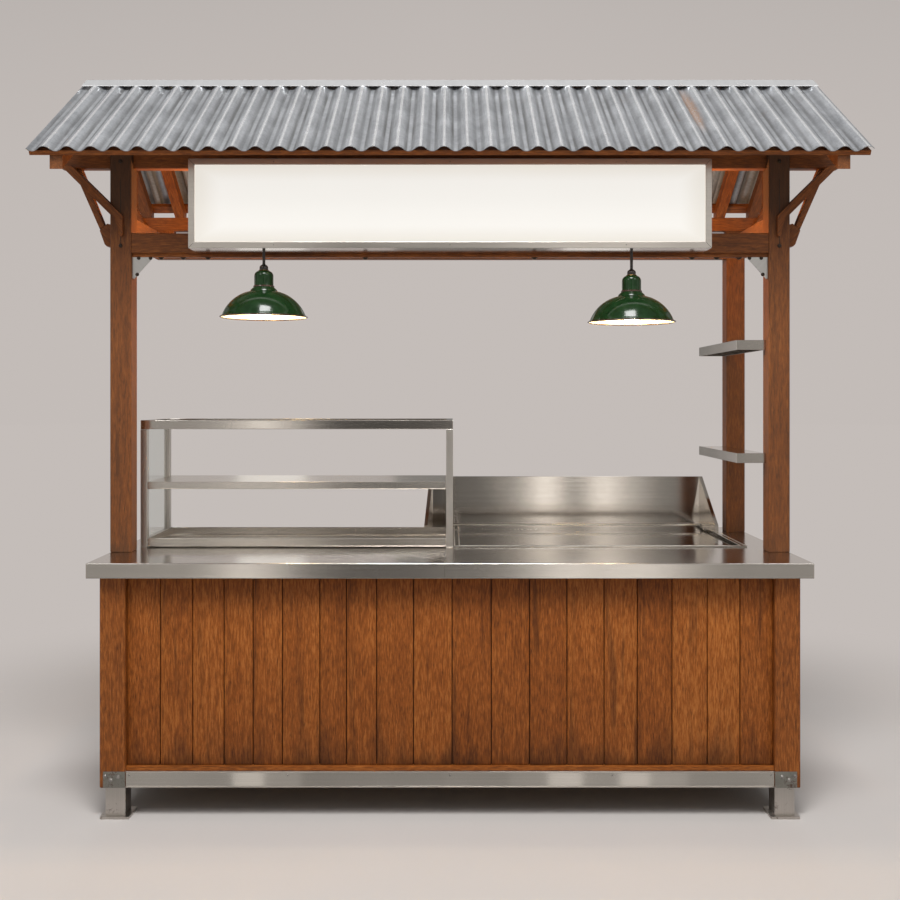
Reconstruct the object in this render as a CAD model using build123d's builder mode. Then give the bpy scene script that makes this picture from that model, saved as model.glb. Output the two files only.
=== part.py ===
from build123d import *
import os
from math import asin, cos, radians, sin, tan

# A street kiosk: a boarded timber base on steel feet, a folded stainless counter
# with a cooking recess and splash guard, three timber posts, and a corrugated
# gable roof on rafters with lapped knee braces. Millimetres, +Z up, origin on the
# ground below the ridge, +X to the right of a customer who looks along +Y.

os.makedirs("parts", exist_ok=True)

# Counter
counter_length = 2400
counter_front = -585
counter_back = 443
counter_height = 852
counter_edge = 50
stainless = 2
fold_radius = 3
core_thickness = 18
core_inset = 6

# Base
base_half_length = 1165
base_front = -550
base_back = 408
base_bottom = 100
corner_post = 85
kick_rail_height = 55
kick_rail_depth = 45
kick_rail_inset = 5
kick_rail_sheet = 3
sill_height = 15
sill_depth = 28
board_thickness = 18
board_recess = 20
board_groove = 4
floor_thickness = 12
foot_tube = 66
foot_wall = 4
foot_plate = 98
foot_plate_thickness = 8

# Widths of the front boards from left to right, as the photograph shows them
front_boards = [112, 108, 105, 97, 98, 125, 89, 101, 123, 129, 131, 128, 125, 124, 111, 116, 118, 109, 111]
end_board_count = 7

# Posts and head frame
post = 75
post_front_y = -323
post_rear_y = 269
beam_thickness = 45
plate_bottom = 2213
plate_top = 2345
plate_half_length = 1385
lower_beam_bottom = 1908
lower_beam_top = 1979
rear_head_bottom = 2076
rear_head_top = 2131
rear_tie_bottom = 1963
rear_tie_top = 2033
side_rail_bottom = 1985
side_rail_top = 2055
arris = 3

# Roof
roof_half_length = 1395
roof_half_depth = 585
roof_pitch = 33
wave_count = 36
wave_pitch = 2 * roof_half_length / wave_count
wave_depth = 17
sheet_thickness = 2
eaves_valley = 2208
ridge_gap = 8
batten_depth = 16
batten_width = 42
rafter_depth = 40
rafter_width = 42
gable_rafter_x = 1304
inner_rafter_x = [-1163, -390, 390, 1163]
rafter_tail_y = 565
ridge_board_thickness = 24
cap_wing = 70
cap_half_length = 1388

# Braces, drawn for the right-hand side and mirrored
front_brace_face = -338
front_brace_back = -283
strut_back = -250
rear_brace_thickness = 28

# Sign light box
sign_half_length = 891
sign_bottom = 1907
sign_top = 2211
sign_front = -463
sign_sheet = 3
sign_frame_width = 22
sign_frame_depth = 8
sign_face_thickness = 4

# Lamps
lamp_y = -393
lamp_shade_radius = 151.5
lamp_wall = 2
lamp_holder_radius = 15
lamp_flex_radius = 5
lamp_shade_height = 163
lamp_holder_top = 187
bulb_radius = 30

# Cooking recess and splash guard
recess_left = 14
recess_right = 1084
recess_front = -190
recess_back = 400
recess_rim = 20
recess_rim_height = 4
recess_depth = 7
ledge_height = 16
splash_back_y = 425
splash_height = 1067
splash_left = -72
splash_right = 1048
splash_front_y = 219
splash_splay = 18
splash_front_height = 884
splash_return = 14

# Rack
rack_left = -1128
rack_right = 11
rack_front = -198
rack_back = 149
rack_top = 1316
rack_tube = 25
rack_wall = 1.5
rack_rail_height = 33
rack_shelf_top = 1091
rack_shelf_lip = 26
rack_tray_bottom = 856
rack_tray_lip = 30
glass_thickness = 4

# End shelves
end_shelf_tops = [1603, 1200]
end_shelf_width = 105
end_shelf_front = -290
end_shelf_back = 300
end_shelf_lip = 35

# Values that follow from the driving dimensions
counter_middle_y = (counter_front + counter_back) / 2
counter_depth = counter_back - counter_front
core_top = counter_height - stainless
core_bottom = core_top - core_thickness
corner_inner_x = base_half_length - corner_post
kick_top = base_bottom + kick_rail_height
sill_top = kick_top + sill_height
post_inner_x = counter_length / 2 - post
post_outer_x = counter_length / 2
beam_front_y = post_front_y + post - beam_thickness
pitch = radians(roof_pitch)
batten_drop = batten_depth / cos(pitch)
rafter_drop = rafter_depth / cos(pitch)


def valley_height(y):
    """Height of the underside of the roof sheets' valleys above a place on the Y axis."""
    return eaves_valley + (roof_half_depth - abs(y)) * tan(pitch)


def bar(x_range, y_range, z_range, mode=Mode.ADD):
    """Add one straight square-edged bar between the ends of three ranges."""
    centre = [(low + high) / 2 for low, high in (x_range, y_range, z_range)]
    with Locations(tuple(centre)):
        Box(
            x_range[1] - x_range[0],
            y_range[1] - y_range[0],
            z_range[1] - z_range[0],
            mode=mode,
        )


def both_sides(x_low, x_high):
    """The same range on the right and on the left of the middle."""
    return [(x_low, x_high), (-x_high, -x_low)]


# Feet: square tubes on base plates, under the corner posts
foot_x = corner_inner_x + foot_tube / 2
foot_front_y = base_front + kick_rail_inset + foot_tube / 2
foot_back_y = base_back - kick_rail_inset - foot_tube / 2
foot_places = [(x, y) for x in (-foot_x, foot_x) for y in (foot_front_y, foot_back_y)]

with BuildPart() as feet:
    with BuildSketch():
        with Locations(foot_places):
            RectangleRounded(foot_plate, foot_plate, 6)
    extrude(amount=foot_plate_thickness)
    with BuildSketch(Plane.XY.offset(foot_plate_thickness)):
        with Locations(foot_places):
            Rectangle(foot_tube, foot_tube)
            Rectangle(foot_tube - 2 * foot_wall, foot_tube - 2 * foot_wall, mode=Mode.SUBTRACT)
    extrude(amount=base_bottom - foot_plate_thickness)
feet.part.label = "feet"
export_step(feet.part, "parts/feet.step")

# Corner posts of the base, with eased arrises
corner_x = base_half_length - corner_post / 2
corner_places = [
    (x, y)
    for x in (-corner_x, corner_x)
    for y in (base_front + corner_post / 2, base_back - corner_post / 2)
]

with BuildPart() as corner_posts:
    with BuildSketch(Plane.XY.offset(base_bottom)) as corner_section:
        with Locations(corner_places):
            Rectangle(corner_post, corner_post)
        chamfer(corner_section.vertices(), arris)
    extrude(amount=core_bottom - base_bottom)
corner_posts.part.label = "corner_posts"
export_step(corner_posts.part, "parts/corner_posts.step")

# Kick rails: folded steel channels between the corner posts, open to the inside
corner_front_inner_y = base_front + corner_post
corner_back_inner_y = base_back - corner_post
end_rail_length = corner_back_inner_y - corner_front_inner_y
end_rail_middle = (corner_back_inner_y + corner_front_inner_y) / 2


def channel_section(face, inward):
    """Draw a channel whose web stands at face and whose flanges run inward."""
    middle = face + inward * kick_rail_depth / 2
    height = base_bottom + kick_rail_height / 2
    with Locations((middle, height)):
        Rectangle(kick_rail_depth, kick_rail_height)
    with Locations((middle + inward * kick_rail_sheet, height)):
        Rectangle(
            kick_rail_depth,
            kick_rail_height - 2 * kick_rail_sheet,
            mode=Mode.SUBTRACT,
        )


with BuildPart() as kick_rails:
    with BuildSketch(Plane.YZ):
        channel_section(base_front + kick_rail_inset, 1)
        channel_section(base_back - kick_rail_inset, -1)
    extrude(amount=corner_inner_x, both=True)
    with BuildSketch(Plane.XZ.offset(-end_rail_middle)):
        channel_section(base_half_length - kick_rail_inset, -1)
        channel_section(-base_half_length + kick_rail_inset, 1)
    extrude(amount=end_rail_length / 2, both=True)
kick_rails.part.label = "kick_rails"
export_step(kick_rails.part, "parts/kick_rails.step")

# Sill strips on the kick rails, standing a little proud of the boards
board_face_front = base_front + board_recess
board_face_back = base_back - board_recess
board_face_end = base_half_length - board_recess
sill_proud = 10

with BuildPart() as sill_strips:
    for y_range in (
        (board_face_front - sill_proud, board_face_front - sill_proud + sill_depth),
        (board_face_back + sill_proud - sill_depth, board_face_back + sill_proud),
    ):
        bar((-corner_inner_x, corner_inner_x), y_range, (kick_top, sill_top))
    for x_range in both_sides(board_face_end + sill_proud - sill_depth, board_face_end + sill_proud):
        bar(x_range, (corner_front_inner_y, corner_back_inner_y), (kick_top, sill_top))
sill_strips.part.label = "sill_strips"
export_step(sill_strips.part, "parts/sill_strips.step")


def seams(start, widths):
    """Places of the joints between boards of the given widths, without the two ends."""
    places = []
    edge = start
    for width in widths[:-1]:
        edge = edge + width
        places.append(edge)
    return places


def vee(places):
    """Draw a small diamond at each place, to cut a vee joint down a boarded face."""
    with Locations(places):
        Rectangle(board_groove, board_groove, rotation=45)


# Boarding: upright boards with vee joints, one panel to each side
front_seams = seams(-corner_inner_x, front_boards)
end_board_width = end_rail_length / end_board_count
end_seams = [corner_front_inner_y + end_board_width * i for i in range(1, end_board_count)]

with BuildPart() as boarding_front:
    bar(
        (-corner_inner_x, corner_inner_x),
        (board_face_front, board_face_front + board_thickness),
        (sill_top, core_bottom),
    )
    with BuildSketch(Plane.XY.offset(sill_top)):
        vee([(x, board_face_front) for x in front_seams])
    extrude(amount=core_bottom - sill_top, mode=Mode.SUBTRACT)
boarding_front.part.label = "boarding_front"
export_step(boarding_front.part, "parts/boarding_front.step")

with BuildPart() as boarding_rear:
    bar(
        (-corner_inner_x, corner_inner_x),
        (board_face_back - board_thickness, board_face_back),
        (sill_top, core_bottom),
    )
    with BuildSketch(Plane.XY.offset(sill_top)):
        vee([(-x, board_face_back) for x in front_seams])
    extrude(amount=core_bottom - sill_top, mode=Mode.SUBTRACT)
boarding_rear.part.label = "boarding_rear"
export_step(boarding_rear.part, "parts/boarding_rear.step")

with BuildPart() as boarding_ends:
    for x_range in both_sides(board_face_end - board_thickness, board_face_end):
        bar(x_range, (corner_front_inner_y, corner_back_inner_y), (sill_top, core_bottom))
    with BuildSketch(Plane.XY.offset(sill_top)):
        vee([(x, y) for x in (-board_face_end, board_face_end) for y in end_seams])
    extrude(amount=core_bottom - sill_top, mode=Mode.SUBTRACT)
boarding_ends.part.label = "boarding_ends"
export_step(boarding_ends.part, "parts/boarding_ends.step")

# Floor panel of the base, on the kick rails' upper flanges between the sills
floor_front = board_face_front - sill_proud + sill_depth
floor_back = board_face_back + sill_proud - sill_depth
floor_end = board_face_end + sill_proud - sill_depth

with BuildPart() as base_floor:
    with BuildSketch(Plane.XY.offset(kick_top)):
        with Locations((0, (floor_front + floor_back) / 2)):
            Rectangle(2 * corner_inner_x, floor_back - floor_front)
        with Locations((0, end_rail_middle)):
            Rectangle(2 * floor_end, end_rail_length)
    extrude(amount=floor_thickness)
base_floor.part.label = "base_floor"
export_step(base_floor.part, "parts/base_floor.step")

# Counter top: one folded sheet with a down-turned edge and a cut-out for the recess
pan_left = recess_left + recess_rim - stainless
pan_right = recess_right - recess_rim + stainless
pan_front = recess_front + recess_rim - stainless
pan_back = recess_back + stainless
pan_middle = ((pan_left + pan_right) / 2, (pan_front + pan_back) / 2)

with BuildPart() as counter_top:
    with BuildSketch(Plane.XY.offset(counter_height - counter_edge)):
        with Locations((0, counter_middle_y)):
            Rectangle(counter_length, counter_depth)
    extrude(amount=counter_edge)
    fillet(counter_top.edges().filter_by(Axis.Z), fold_radius)
    fillet(counter_top.faces().sort_by(Axis.Z)[-1].edges(), fold_radius)
    offset(amount=-stainless, openings=counter_top.faces().sort_by(Axis.Z)[0])
    with BuildSketch(Plane.XY.offset(core_top)):
        with Locations(pan_middle):
            Rectangle(pan_right - pan_left, pan_back - pan_front)
    extrude(amount=stainless, mode=Mode.SUBTRACT)
counter_top.part.label = "counter_top"
export_step(counter_top.part, "parts/counter_top.step")

# Plywood core under the sheet
with BuildPart() as counter_board:
    with BuildSketch(Plane.XY.offset(core_bottom)):
        with Locations((0, counter_middle_y)):
            Rectangle(counter_length - 2 * core_inset, counter_depth - 2 * core_inset)
        with Locations(pan_middle):
            Rectangle(pan_right - pan_left, pan_back - pan_front, mode=Mode.SUBTRACT)
    extrude(amount=core_thickness)
counter_board.part.label = "counter_board"
export_step(counter_board.part, "parts/counter_board.step")

# Cooking recess: a shallow pressed pan with a low flat rim that stands on the counter
rim_top = counter_height + recess_rim_height
recess_floor = counter_height - recess_depth + stainless

with BuildPart() as cooking_recess:
    with BuildSketch(Plane.XY.offset(counter_height)):
        with Locations(((recess_left + recess_right) / 2, (recess_front + splash_back_y) / 2)):
            Rectangle(recess_right - recess_left, splash_back_y - recess_front)
    extrude(amount=recess_rim_height)
    with BuildSketch(Plane.XY.offset(recess_floor - stainless)):
        with Locations(pan_middle):
            Rectangle(pan_right - pan_left, pan_back - pan_front)
    extrude(amount=rim_top - recess_floor + stainless)
    with BuildSketch(Plane.XY.offset(recess_floor)):
        with Locations(pan_middle):
            RectangleRounded(
                pan_right - pan_left - 2 * stainless,
                pan_back - pan_front - 2 * stainless,
                8,
            )
    extrude(amount=rim_top - recess_floor, mode=Mode.SUBTRACT)
cooking_recess.part.label = "cooking_recess"
export_step(cooking_recess.part, "parts/cooking_recess.step")

# Splash guard: a folded back panel on a ledge, with two splayed and sloping wings.
# Each panel is a tray 14 mm deep, its edges returned towards the outside.
wing_run = splash_back_y - splash_front_y
wing_length = (wing_run**2 + splash_splay**2) ** 0.5
ledge_top = rim_top + ledge_height - recess_rim_height
panel_length = splash_right - splash_left + 2 * splash_return
panel_middle = ((splash_left + splash_right) / 2, (rim_top + splash_height) / 2)


def wing_outline(bottom, inset):
    """Draw a wing's side outline, drawn in by inset on every edge."""
    with BuildLine() as outline:
        Polyline(
            (inset, bottom + inset),
            (wing_length - inset, bottom + inset),
            (wing_length - inset, splash_front_height - inset * 0.4),
            (inset, splash_height - inset * 1.4),
            close=True,
        )
    make_face(outline.edges())


with BuildPart() as splash_guard:
    with BuildSketch(Plane.XZ.offset(-splash_back_y)):
        with Locations(panel_middle):
            Rectangle(panel_length, splash_height - rim_top)
    extrude(amount=-splash_return)
    with BuildSketch(Plane.XZ.offset(-splash_back_y - stainless)):
        with Locations(panel_middle):
            Rectangle(panel_length - 2 * stainless, splash_height - rim_top - 2 * stainless)
    extrude(amount=-splash_return, mode=Mode.SUBTRACT)
    # Ledge between the recess and the back panel
    bar((recess_left, splash_right), (recess_back, splash_back_y), (rim_top, ledge_top))
    bar(
        (recess_left, splash_right),
        (recess_back + stainless, splash_back_y - stainless),
        (rim_top, ledge_top - stainless),
        mode=Mode.SUBTRACT,
    )
    # Left foot of the back panel, down to the counter beside the recess
    bar(
        (splash_left - splash_return, recess_left),
        (splash_back_y, splash_back_y + splash_return),
        (counter_height, rim_top),
    )
    for side, back_x, bottom in (
        (-1, splash_left, counter_height),
        (1, splash_right, rim_top),
    ):
        wing_plane = Plane(
            origin=(back_x, splash_back_y, 0),
            x_dir=(side * splash_splay, -wing_run, 0),
            z_dir=(-wing_run, -side * splash_splay, 0),
        )
        with BuildSketch(wing_plane):
            wing_outline(bottom, 0)
        extrude(amount=-side * splash_return)
        with BuildSketch(wing_plane.offset(-side * stainless)):
            wing_outline(bottom, stainless)
        extrude(amount=-side * splash_return, mode=Mode.SUBTRACT)
splash_guard.part.label = "splash_guard"
export_step(splash_guard.part, "parts/splash_guard.step")

# Front posts: their front part passes in front of the head plate, which is let in
post_middle_x = post_outer_x - post / 2
post_middle_front_y = post_front_y + post / 2
post_tenon_top = plate_top - 15

with BuildPart() as post_front_right:
    with BuildSketch(Plane.XY.offset(counter_height)) as post_section:
        with Locations((post_middle_x, post_middle_front_y)):
            Rectangle(post, post)
        chamfer(post_section.vertices(), arris)
    extrude(amount=post_tenon_top - counter_height)
    bar(
        (post_inner_x, post_outer_x),
        (beam_front_y, post_front_y + post),
        (plate_bottom, post_tenon_top),
        mode=Mode.SUBTRACT,
    )

with BuildPart() as front_posts:
    add(post_front_right.part)
    mirror(post_front_right.part, about=Plane.YZ)
front_posts.part.label = "front_posts"
export_step(front_posts.part, "parts/front_posts.step")

with BuildPart() as post_rear_right:
    with BuildSketch(Plane.XY.offset(counter_height)) as rear_section:
        with Locations((post_middle_x, post_rear_y + post / 2)):
            Rectangle(post, post)
        chamfer(rear_section.vertices(), arris)
    extrude(amount=rear_head_bottom - counter_height)
post_rear_right.part.label = "post_rear_right"
export_step(post_rear_right.part, "parts/post_rear_right.step")

# Head plate over the front posts, and the beam that carries the sign
beam_back_y = post_front_y + post

with BuildPart() as front_head_plate:
    bar((-plate_half_length, plate_half_length), (beam_front_y, beam_back_y), (plate_bottom, plate_top))
    chamfer(front_head_plate.edges().filter_by(Axis.X), arris)
front_head_plate.part.label = "front_head_plate"
export_step(front_head_plate.part, "parts/front_head_plate.step")

with BuildPart() as front_lower_beam:
    bar(
        (-post_inner_x, post_inner_x),
        (post_front_y, post_front_y + beam_thickness),
        (lower_beam_bottom, lower_beam_top),
    )
    chamfer(front_lower_beam.edges().filter_by(Axis.X), arris)
front_lower_beam.part.label = "front_lower_beam"
export_step(front_lower_beam.part, "parts/front_lower_beam.step")

# Rear frame: head beam over the rear post, and a tie beam below it
rear_beam_back = post_rear_y + beam_thickness
gable_outer_x = gable_rafter_x + rafter_width / 2

with BuildPart() as rear_beams:
    bar((-gable_outer_x, gable_outer_x), (post_rear_y, rear_beam_back), (rear_head_bottom, rear_head_top))
    bar((-post_outer_x, post_inner_x), (post_rear_y, rear_beam_back), (rear_tie_bottom, rear_tie_top))
rear_beams.part.label = "rear_beams"
export_step(rear_beams.part, "parts/rear_beams.step")

# Front knee braces: notched around the post, with a tail that curves down its face
with BuildPart() as front_brace_right:
    with BuildSketch(Plane.XZ.offset(-front_brace_face)):
        with BuildLine():
            top_edge = Line((1331, plate_bottom), (1368, plate_bottom))
            underside = Line(top_edge @ 1, (1194, 2041))
            tail_curve = TangentArc(underside @ 1, (1166, 1973), tangent=underside % 1)
            tail_tip = ThreePointArc(tail_curve @ 1, (1159, 1966), (1152, 1973))
            tail_side = Line(tail_tip @ 1, (1152, 2037))
            Line(tail_side @ 1, top_edge @ 0)
        make_face()
    extrude(amount=-(front_brace_back - front_brace_face))
    bar(
        (post_inner_x, post_outer_x),
        (post_front_y, front_brace_back),
        (1900, plate_bottom),
        mode=Mode.SUBTRACT,
    )

with BuildPart() as front_braces:
    add(front_brace_right.part)
    mirror(front_brace_right.part, about=Plane.YZ)
front_braces.part.label = "front_braces"
export_step(front_braces.part, "parts/front_braces.step")

# Steep struts behind the knee braces, each on a tapered cleat on the post's side
with BuildPart() as front_strut_right:
    with BuildSketch(Plane.XZ.offset(-front_brace_back)) as strut_outline:
        with BuildLine():
            Polyline(
                (1233, 2010),
                (1248, 1997),
                (1343, plate_bottom),
                (1315, plate_bottom),
                close=True,
            )
        make_face()
        with BuildLine():
            Polyline(
                (post_outer_x, 2012),
                (1222, 2019),
                (1250, 1995),
                (1232, 1945),
                (1224, 1937),
                (post_outer_x, 1937),
                close=True,
            )
        make_face()
    extrude(amount=-(strut_back - front_brace_back))

with BuildPart() as front_struts:
    add(front_strut_right.part)
    mirror(front_strut_right.part, about=Plane.YZ)
front_struts.part.label = "front_struts"
export_step(front_struts.part, "parts/front_struts.step")

# Rear braces, lapped on the front of the rear frame
with BuildPart() as rear_braces:
    with BuildSketch(Plane.XZ.offset(-post_rear_y)):
        with BuildLine():
            Polyline((1172, 1986), (1203, 1986), (1325, 2218), (1325, 2248), (1310, 2248), close=True)
        make_face()
        mirror(about=Plane.YZ)
    extrude(amount=rear_brace_thickness)
rear_braces.part.label = "rear_braces"
export_step(rear_braces.part, "parts/rear_braces.step")

# Side rails from the front posts to the rear frame, notched around the rear braces
with BuildPart() as side_rails:
    for x_range in both_sides(post_outer_x - beam_thickness, post_outer_x):
        bar(x_range, (beam_back_y, post_rear_y), (side_rail_bottom, side_rail_top))
    add(rear_braces.part, mode=Mode.SUBTRACT)
side_rails.part.label = "side_rails"
export_step(side_rails.part, "parts/side_rails.step")

# Gusset plates: folded steel triangles under the beam, against the posts
gusset_reach = 80
gusset_drop = 88
gusset_sheet = 3
gusset_flange = 22
gusset_y = post_front_y + 12

with BuildPart() as gusset_right:
    with BuildSketch(Plane.XZ.offset(-gusset_y)):
        with BuildLine():
            Polyline(
                (post_inner_x, lower_beam_bottom),
                (post_inner_x - gusset_reach, lower_beam_bottom),
                (post_inner_x - gusset_reach, lower_beam_bottom - 8),
                (post_inner_x - 8, lower_beam_bottom - gusset_drop),
                (post_inner_x, lower_beam_bottom - gusset_drop),
                close=True,
            )
        make_face()
    extrude(amount=-gusset_sheet)
    bar(
        (post_inner_x - gusset_reach, post_inner_x),
        (gusset_y, gusset_y + gusset_flange),
        (lower_beam_bottom - gusset_sheet, lower_beam_bottom),
    )
    bar(
        (post_inner_x - gusset_sheet, post_inner_x),
        (gusset_y, gusset_y + gusset_flange),
        (lower_beam_bottom - gusset_drop, lower_beam_bottom),
    )

with BuildPart() as gusset_plates:
    add(gusset_right.part)
    mirror(gusset_right.part, about=Plane.YZ)
gusset_plates.part.label = "gusset_plates"
export_step(gusset_plates.part, "parts/gusset_plates.step")

# Rafters: cut to the pitch, seated on the head plate with a birdsmouth
ridge_half = ridge_board_thickness / 2
tail_round = 14


def rafter_height(y):
    """Height of the top edge of a rafter above a place on the Y axis."""
    return valley_height(y) - batten_drop


def rafter_side(low_y, high_y):
    """Draw the side of a rafter between two places on one slope, with upright ends."""
    with BuildLine() as outline:
        Polyline(
            (low_y, rafter_height(low_y)),
            (high_y, rafter_height(high_y)),
            (high_y, rafter_height(high_y) - rafter_drop),
            (low_y, rafter_height(low_y) - rafter_drop),
            close=True,
        )
    make_face(outline.edges())


with BuildPart() as gable_pair:
    with BuildSketch(Plane.YZ) as rafter_pair:
        rafter_side(-rafter_tail_y, -ridge_half)
        rafter_side(rafter_tail_y, ridge_half)
        tails = rafter_pair.vertices().group_by(Axis.Y)
        fillet([tails[0].sort_by(Axis.Z)[0], tails[-1].sort_by(Axis.Z)[0]], tail_round)
    extrude(amount=rafter_width / 2, both=True)
    bar(
        (-rafter_width, rafter_width),
        (beam_front_y, beam_back_y),
        (plate_bottom, plate_top),
        mode=Mode.SUBTRACT,
    )

with BuildPart() as gable_rafters:
    with Locations((-gable_rafter_x, 0, 0), (gable_rafter_x, 0, 0)):
        add(gable_pair.part)
gable_rafters.part.label = "gable_rafters"
export_step(gable_rafters.part, "parts/gable_rafters.step")

with BuildPart() as inner_pair:
    with BuildSketch(Plane.YZ):
        rafter_side(beam_front_y, -ridge_half)
        rafter_side(rafter_tail_y, ridge_half)
    extrude(amount=rafter_width / 2, both=True)
    bar(
        (-rafter_width, rafter_width),
        (beam_front_y, beam_back_y),
        (plate_bottom, plate_top),
        mode=Mode.SUBTRACT,
    )

with BuildPart() as inner_rafters:
    with Locations([(x, 0, 0) for x in inner_rafter_x]):
        add(inner_pair.part)
inner_rafters.part.label = "inner_rafters"
export_step(inner_rafters.part, "parts/inner_rafters.step")

# Struts from the head beam up to the gable rafters, and a stub between the left beams
with BuildPart() as rear_end_struts:
    with BuildSketch(Plane.YZ.offset(gable_rafter_x - rafter_width / 2)):
        with BuildLine():
            Polyline(
                (post_rear_y, rear_head_top),
                (rear_beam_back, rear_head_top),
                (rear_beam_back, rafter_height(rear_beam_back) - rafter_drop),
                (post_rear_y, rafter_height(post_rear_y) - rafter_drop),
                close=True,
            )
        make_face()
    extrude(amount=rafter_width)
    mirror(about=Plane.YZ)
    bar((-post_outer_x, -post_inner_x), (post_rear_y, rear_beam_back), (rear_tie_top, rear_head_bottom))
rear_end_struts.part.label = "rear_end_struts"
export_step(rear_end_struts.part, "parts/rear_end_struts.step")

# Ridge board between the rafters' heads
ridge_board_top = rafter_height(0) - ridge_half * tan(pitch)
ridge_board_depth = 90

with BuildPart() as ridge_board:
    bar(
        (-gable_outer_x, gable_outer_x),
        (-ridge_half, ridge_half),
        (ridge_board_top - ridge_board_depth, ridge_board_top),
    )
ridge_board.part.label = "ridge_board"
export_step(ridge_board.part, "parts/ridge_board.step")


def slope_plane(side, y):
    """A plane square to one slope, where the slope's valley line stands at y.

    Its own X runs along the eaves and its own Y out of the slope.
    """
    return Plane(
        origin=(0, side * y, valley_height(y)),
        x_dir=(side, 0, 0),
        z_dir=(0, -side * cos(pitch), sin(pitch)),
    )


# Battens across the rafters, under the sheets at the eaves, at mid slope and at the ridge
batten_places = [578, 165, 62]

with BuildPart() as roof_battens:
    for side in (-1, 1):
        for place in batten_places:
            with BuildSketch(slope_plane(side, place)):
                with Locations((0, -batten_depth / 2)):
                    Rectangle(2 * (roof_half_length - 5), batten_depth)
            extrude(amount=batten_width)
roof_battens.part.label = "roof_battens"
export_step(roof_battens.part, "parts/roof_battens.step")

# Corrugated sheets: tangent arcs of one radius, crest and valley in turn
half_chord = wave_pitch / 4
sagitta = wave_depth / 2
wave_radius = (half_chord**2 + sagitta**2) / (2 * sagitta)
wave_angle = asin(half_chord / wave_radius)
slope_length = (roof_half_depth - ridge_gap) / cos(pitch)


def wave_point(centre, facing, radius, angle):
    """A point on a crest (facing 1) or valley (facing -1) arc, angle from its top."""
    base = sagitta + sheet_thickness / 2
    return (
        centre + radius * sin(angle),
        base + facing * (sagitta - wave_radius + radius * cos(angle)),
    )


def wave_line(shift):
    """Draw one surface of the sheet, shift above its middle line; return its two ends."""
    ends = []
    for index in range(2 * wave_count):
        centre = -roof_half_length + (2 * index + 1) * half_chord
        facing = 1 if index % 2 == 0 else -1
        radius = wave_radius + facing * shift
        start = wave_point(centre, facing, radius, -wave_angle)
        middle = wave_point(centre, facing, radius, 0)
        finish = wave_point(centre, facing, radius, wave_angle)
        ThreePointArc(start, middle, finish)
        ends.extend([start, finish])
    return ends[0], ends[-1]


def corrugated_section():
    """Draw the closed section of a corrugated sheet, from verge to verge."""
    with BuildLine() as outline:
        upper_start, upper_end = wave_line(sheet_thickness / 2)
        lower_start, lower_end = wave_line(-sheet_thickness / 2)
        Line(upper_start, lower_start)
        Line(upper_end, lower_end)
    make_face(outline.edges())


with BuildPart() as roof_sheet_front:
    with BuildSketch(slope_plane(-1, roof_half_depth)):
        corrugated_section()
    extrude(amount=slope_length)
roof_sheet_front.part.label = "roof_sheet_front"
export_step(roof_sheet_front.part, "parts/roof_sheet_front.step")

with BuildPart() as roof_sheet_rear:
    with BuildSketch(slope_plane(1, roof_half_depth)):
        corrugated_section()
    extrude(amount=slope_length)
roof_sheet_rear.part.label = "roof_sheet_rear"
export_step(roof_sheet_rear.part, "parts/roof_sheet_rear.step")

# Ridge cap: a folded vee that rests on the crests
crest_rise = (wave_depth + sheet_thickness) / cos(pitch)
cap_rise = sheet_thickness / cos(pitch)
cap_underside = valley_height(0) + crest_rise
cap_run = cap_wing * cos(pitch)
cap_fall = cap_wing * sin(pitch)

with BuildPart() as ridge_cap:
    with BuildSketch(Plane.YZ):
        with BuildLine():
            Polyline(
                (0, cap_underside),
                (cap_run, cap_underside - cap_fall),
                (cap_run, cap_underside - cap_fall + cap_rise),
                (0, cap_underside + cap_rise),
                (-cap_run, cap_underside - cap_fall + cap_rise),
                (-cap_run, cap_underside - cap_fall),
                close=True,
            )
        make_face()
    extrude(amount=cap_half_length, both=True)
ridge_cap.part.label = "ridge_cap"
export_step(ridge_cap.part, "parts/ridge_cap.step")

# Sign light box: a sheet case, a mitred front frame and an opal face
sign_height = sign_top - sign_bottom
sign_middle_z = (sign_top + sign_bottom) / 2
sign_case_front = sign_front + sign_frame_depth

with BuildPart() as sign_case:
    with BuildSketch(Plane.XZ.offset(-post_front_y)):
        with Locations((0, sign_middle_z)):
            Rectangle(2 * sign_half_length, sign_height)
    extrude(amount=post_front_y - sign_case_front)
    offset(amount=-sign_sheet, openings=sign_case.faces().sort_by(Axis.Y)[0])
sign_case.part.label = "sign_case"
export_step(sign_case.part, "parts/sign_case.step")

with BuildPart() as sign_frame:
    with BuildSketch(Plane.XZ.offset(-sign_case_front)):
        with Locations((0, sign_middle_z)):
            Rectangle(2 * sign_half_length, sign_height)
            Rectangle(
                2 * (sign_half_length - sign_frame_width),
                sign_height - 2 * sign_frame_width,
                mode=Mode.SUBTRACT,
            )
    extrude(amount=sign_frame_depth)
    chamfer(sign_frame.faces().sort_by(Axis.Y)[0].inner_wires().edges(), 2)
sign_frame.part.label = "sign_frame"
export_step(sign_frame.part, "parts/sign_frame.step")

with BuildPart() as sign_face:
    with BuildSketch(Plane.XZ.offset(-sign_case_front)):
        with Locations((0, sign_middle_z)):
            Rectangle(
                2 * (sign_half_length - sign_frame_width),
                sign_height - 2 * sign_frame_width,
            )
    extrude(amount=sign_face_thickness)
sign_face.part.label = "sign_face"
export_step(sign_face.part, "parts/sign_face.step")


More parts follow.
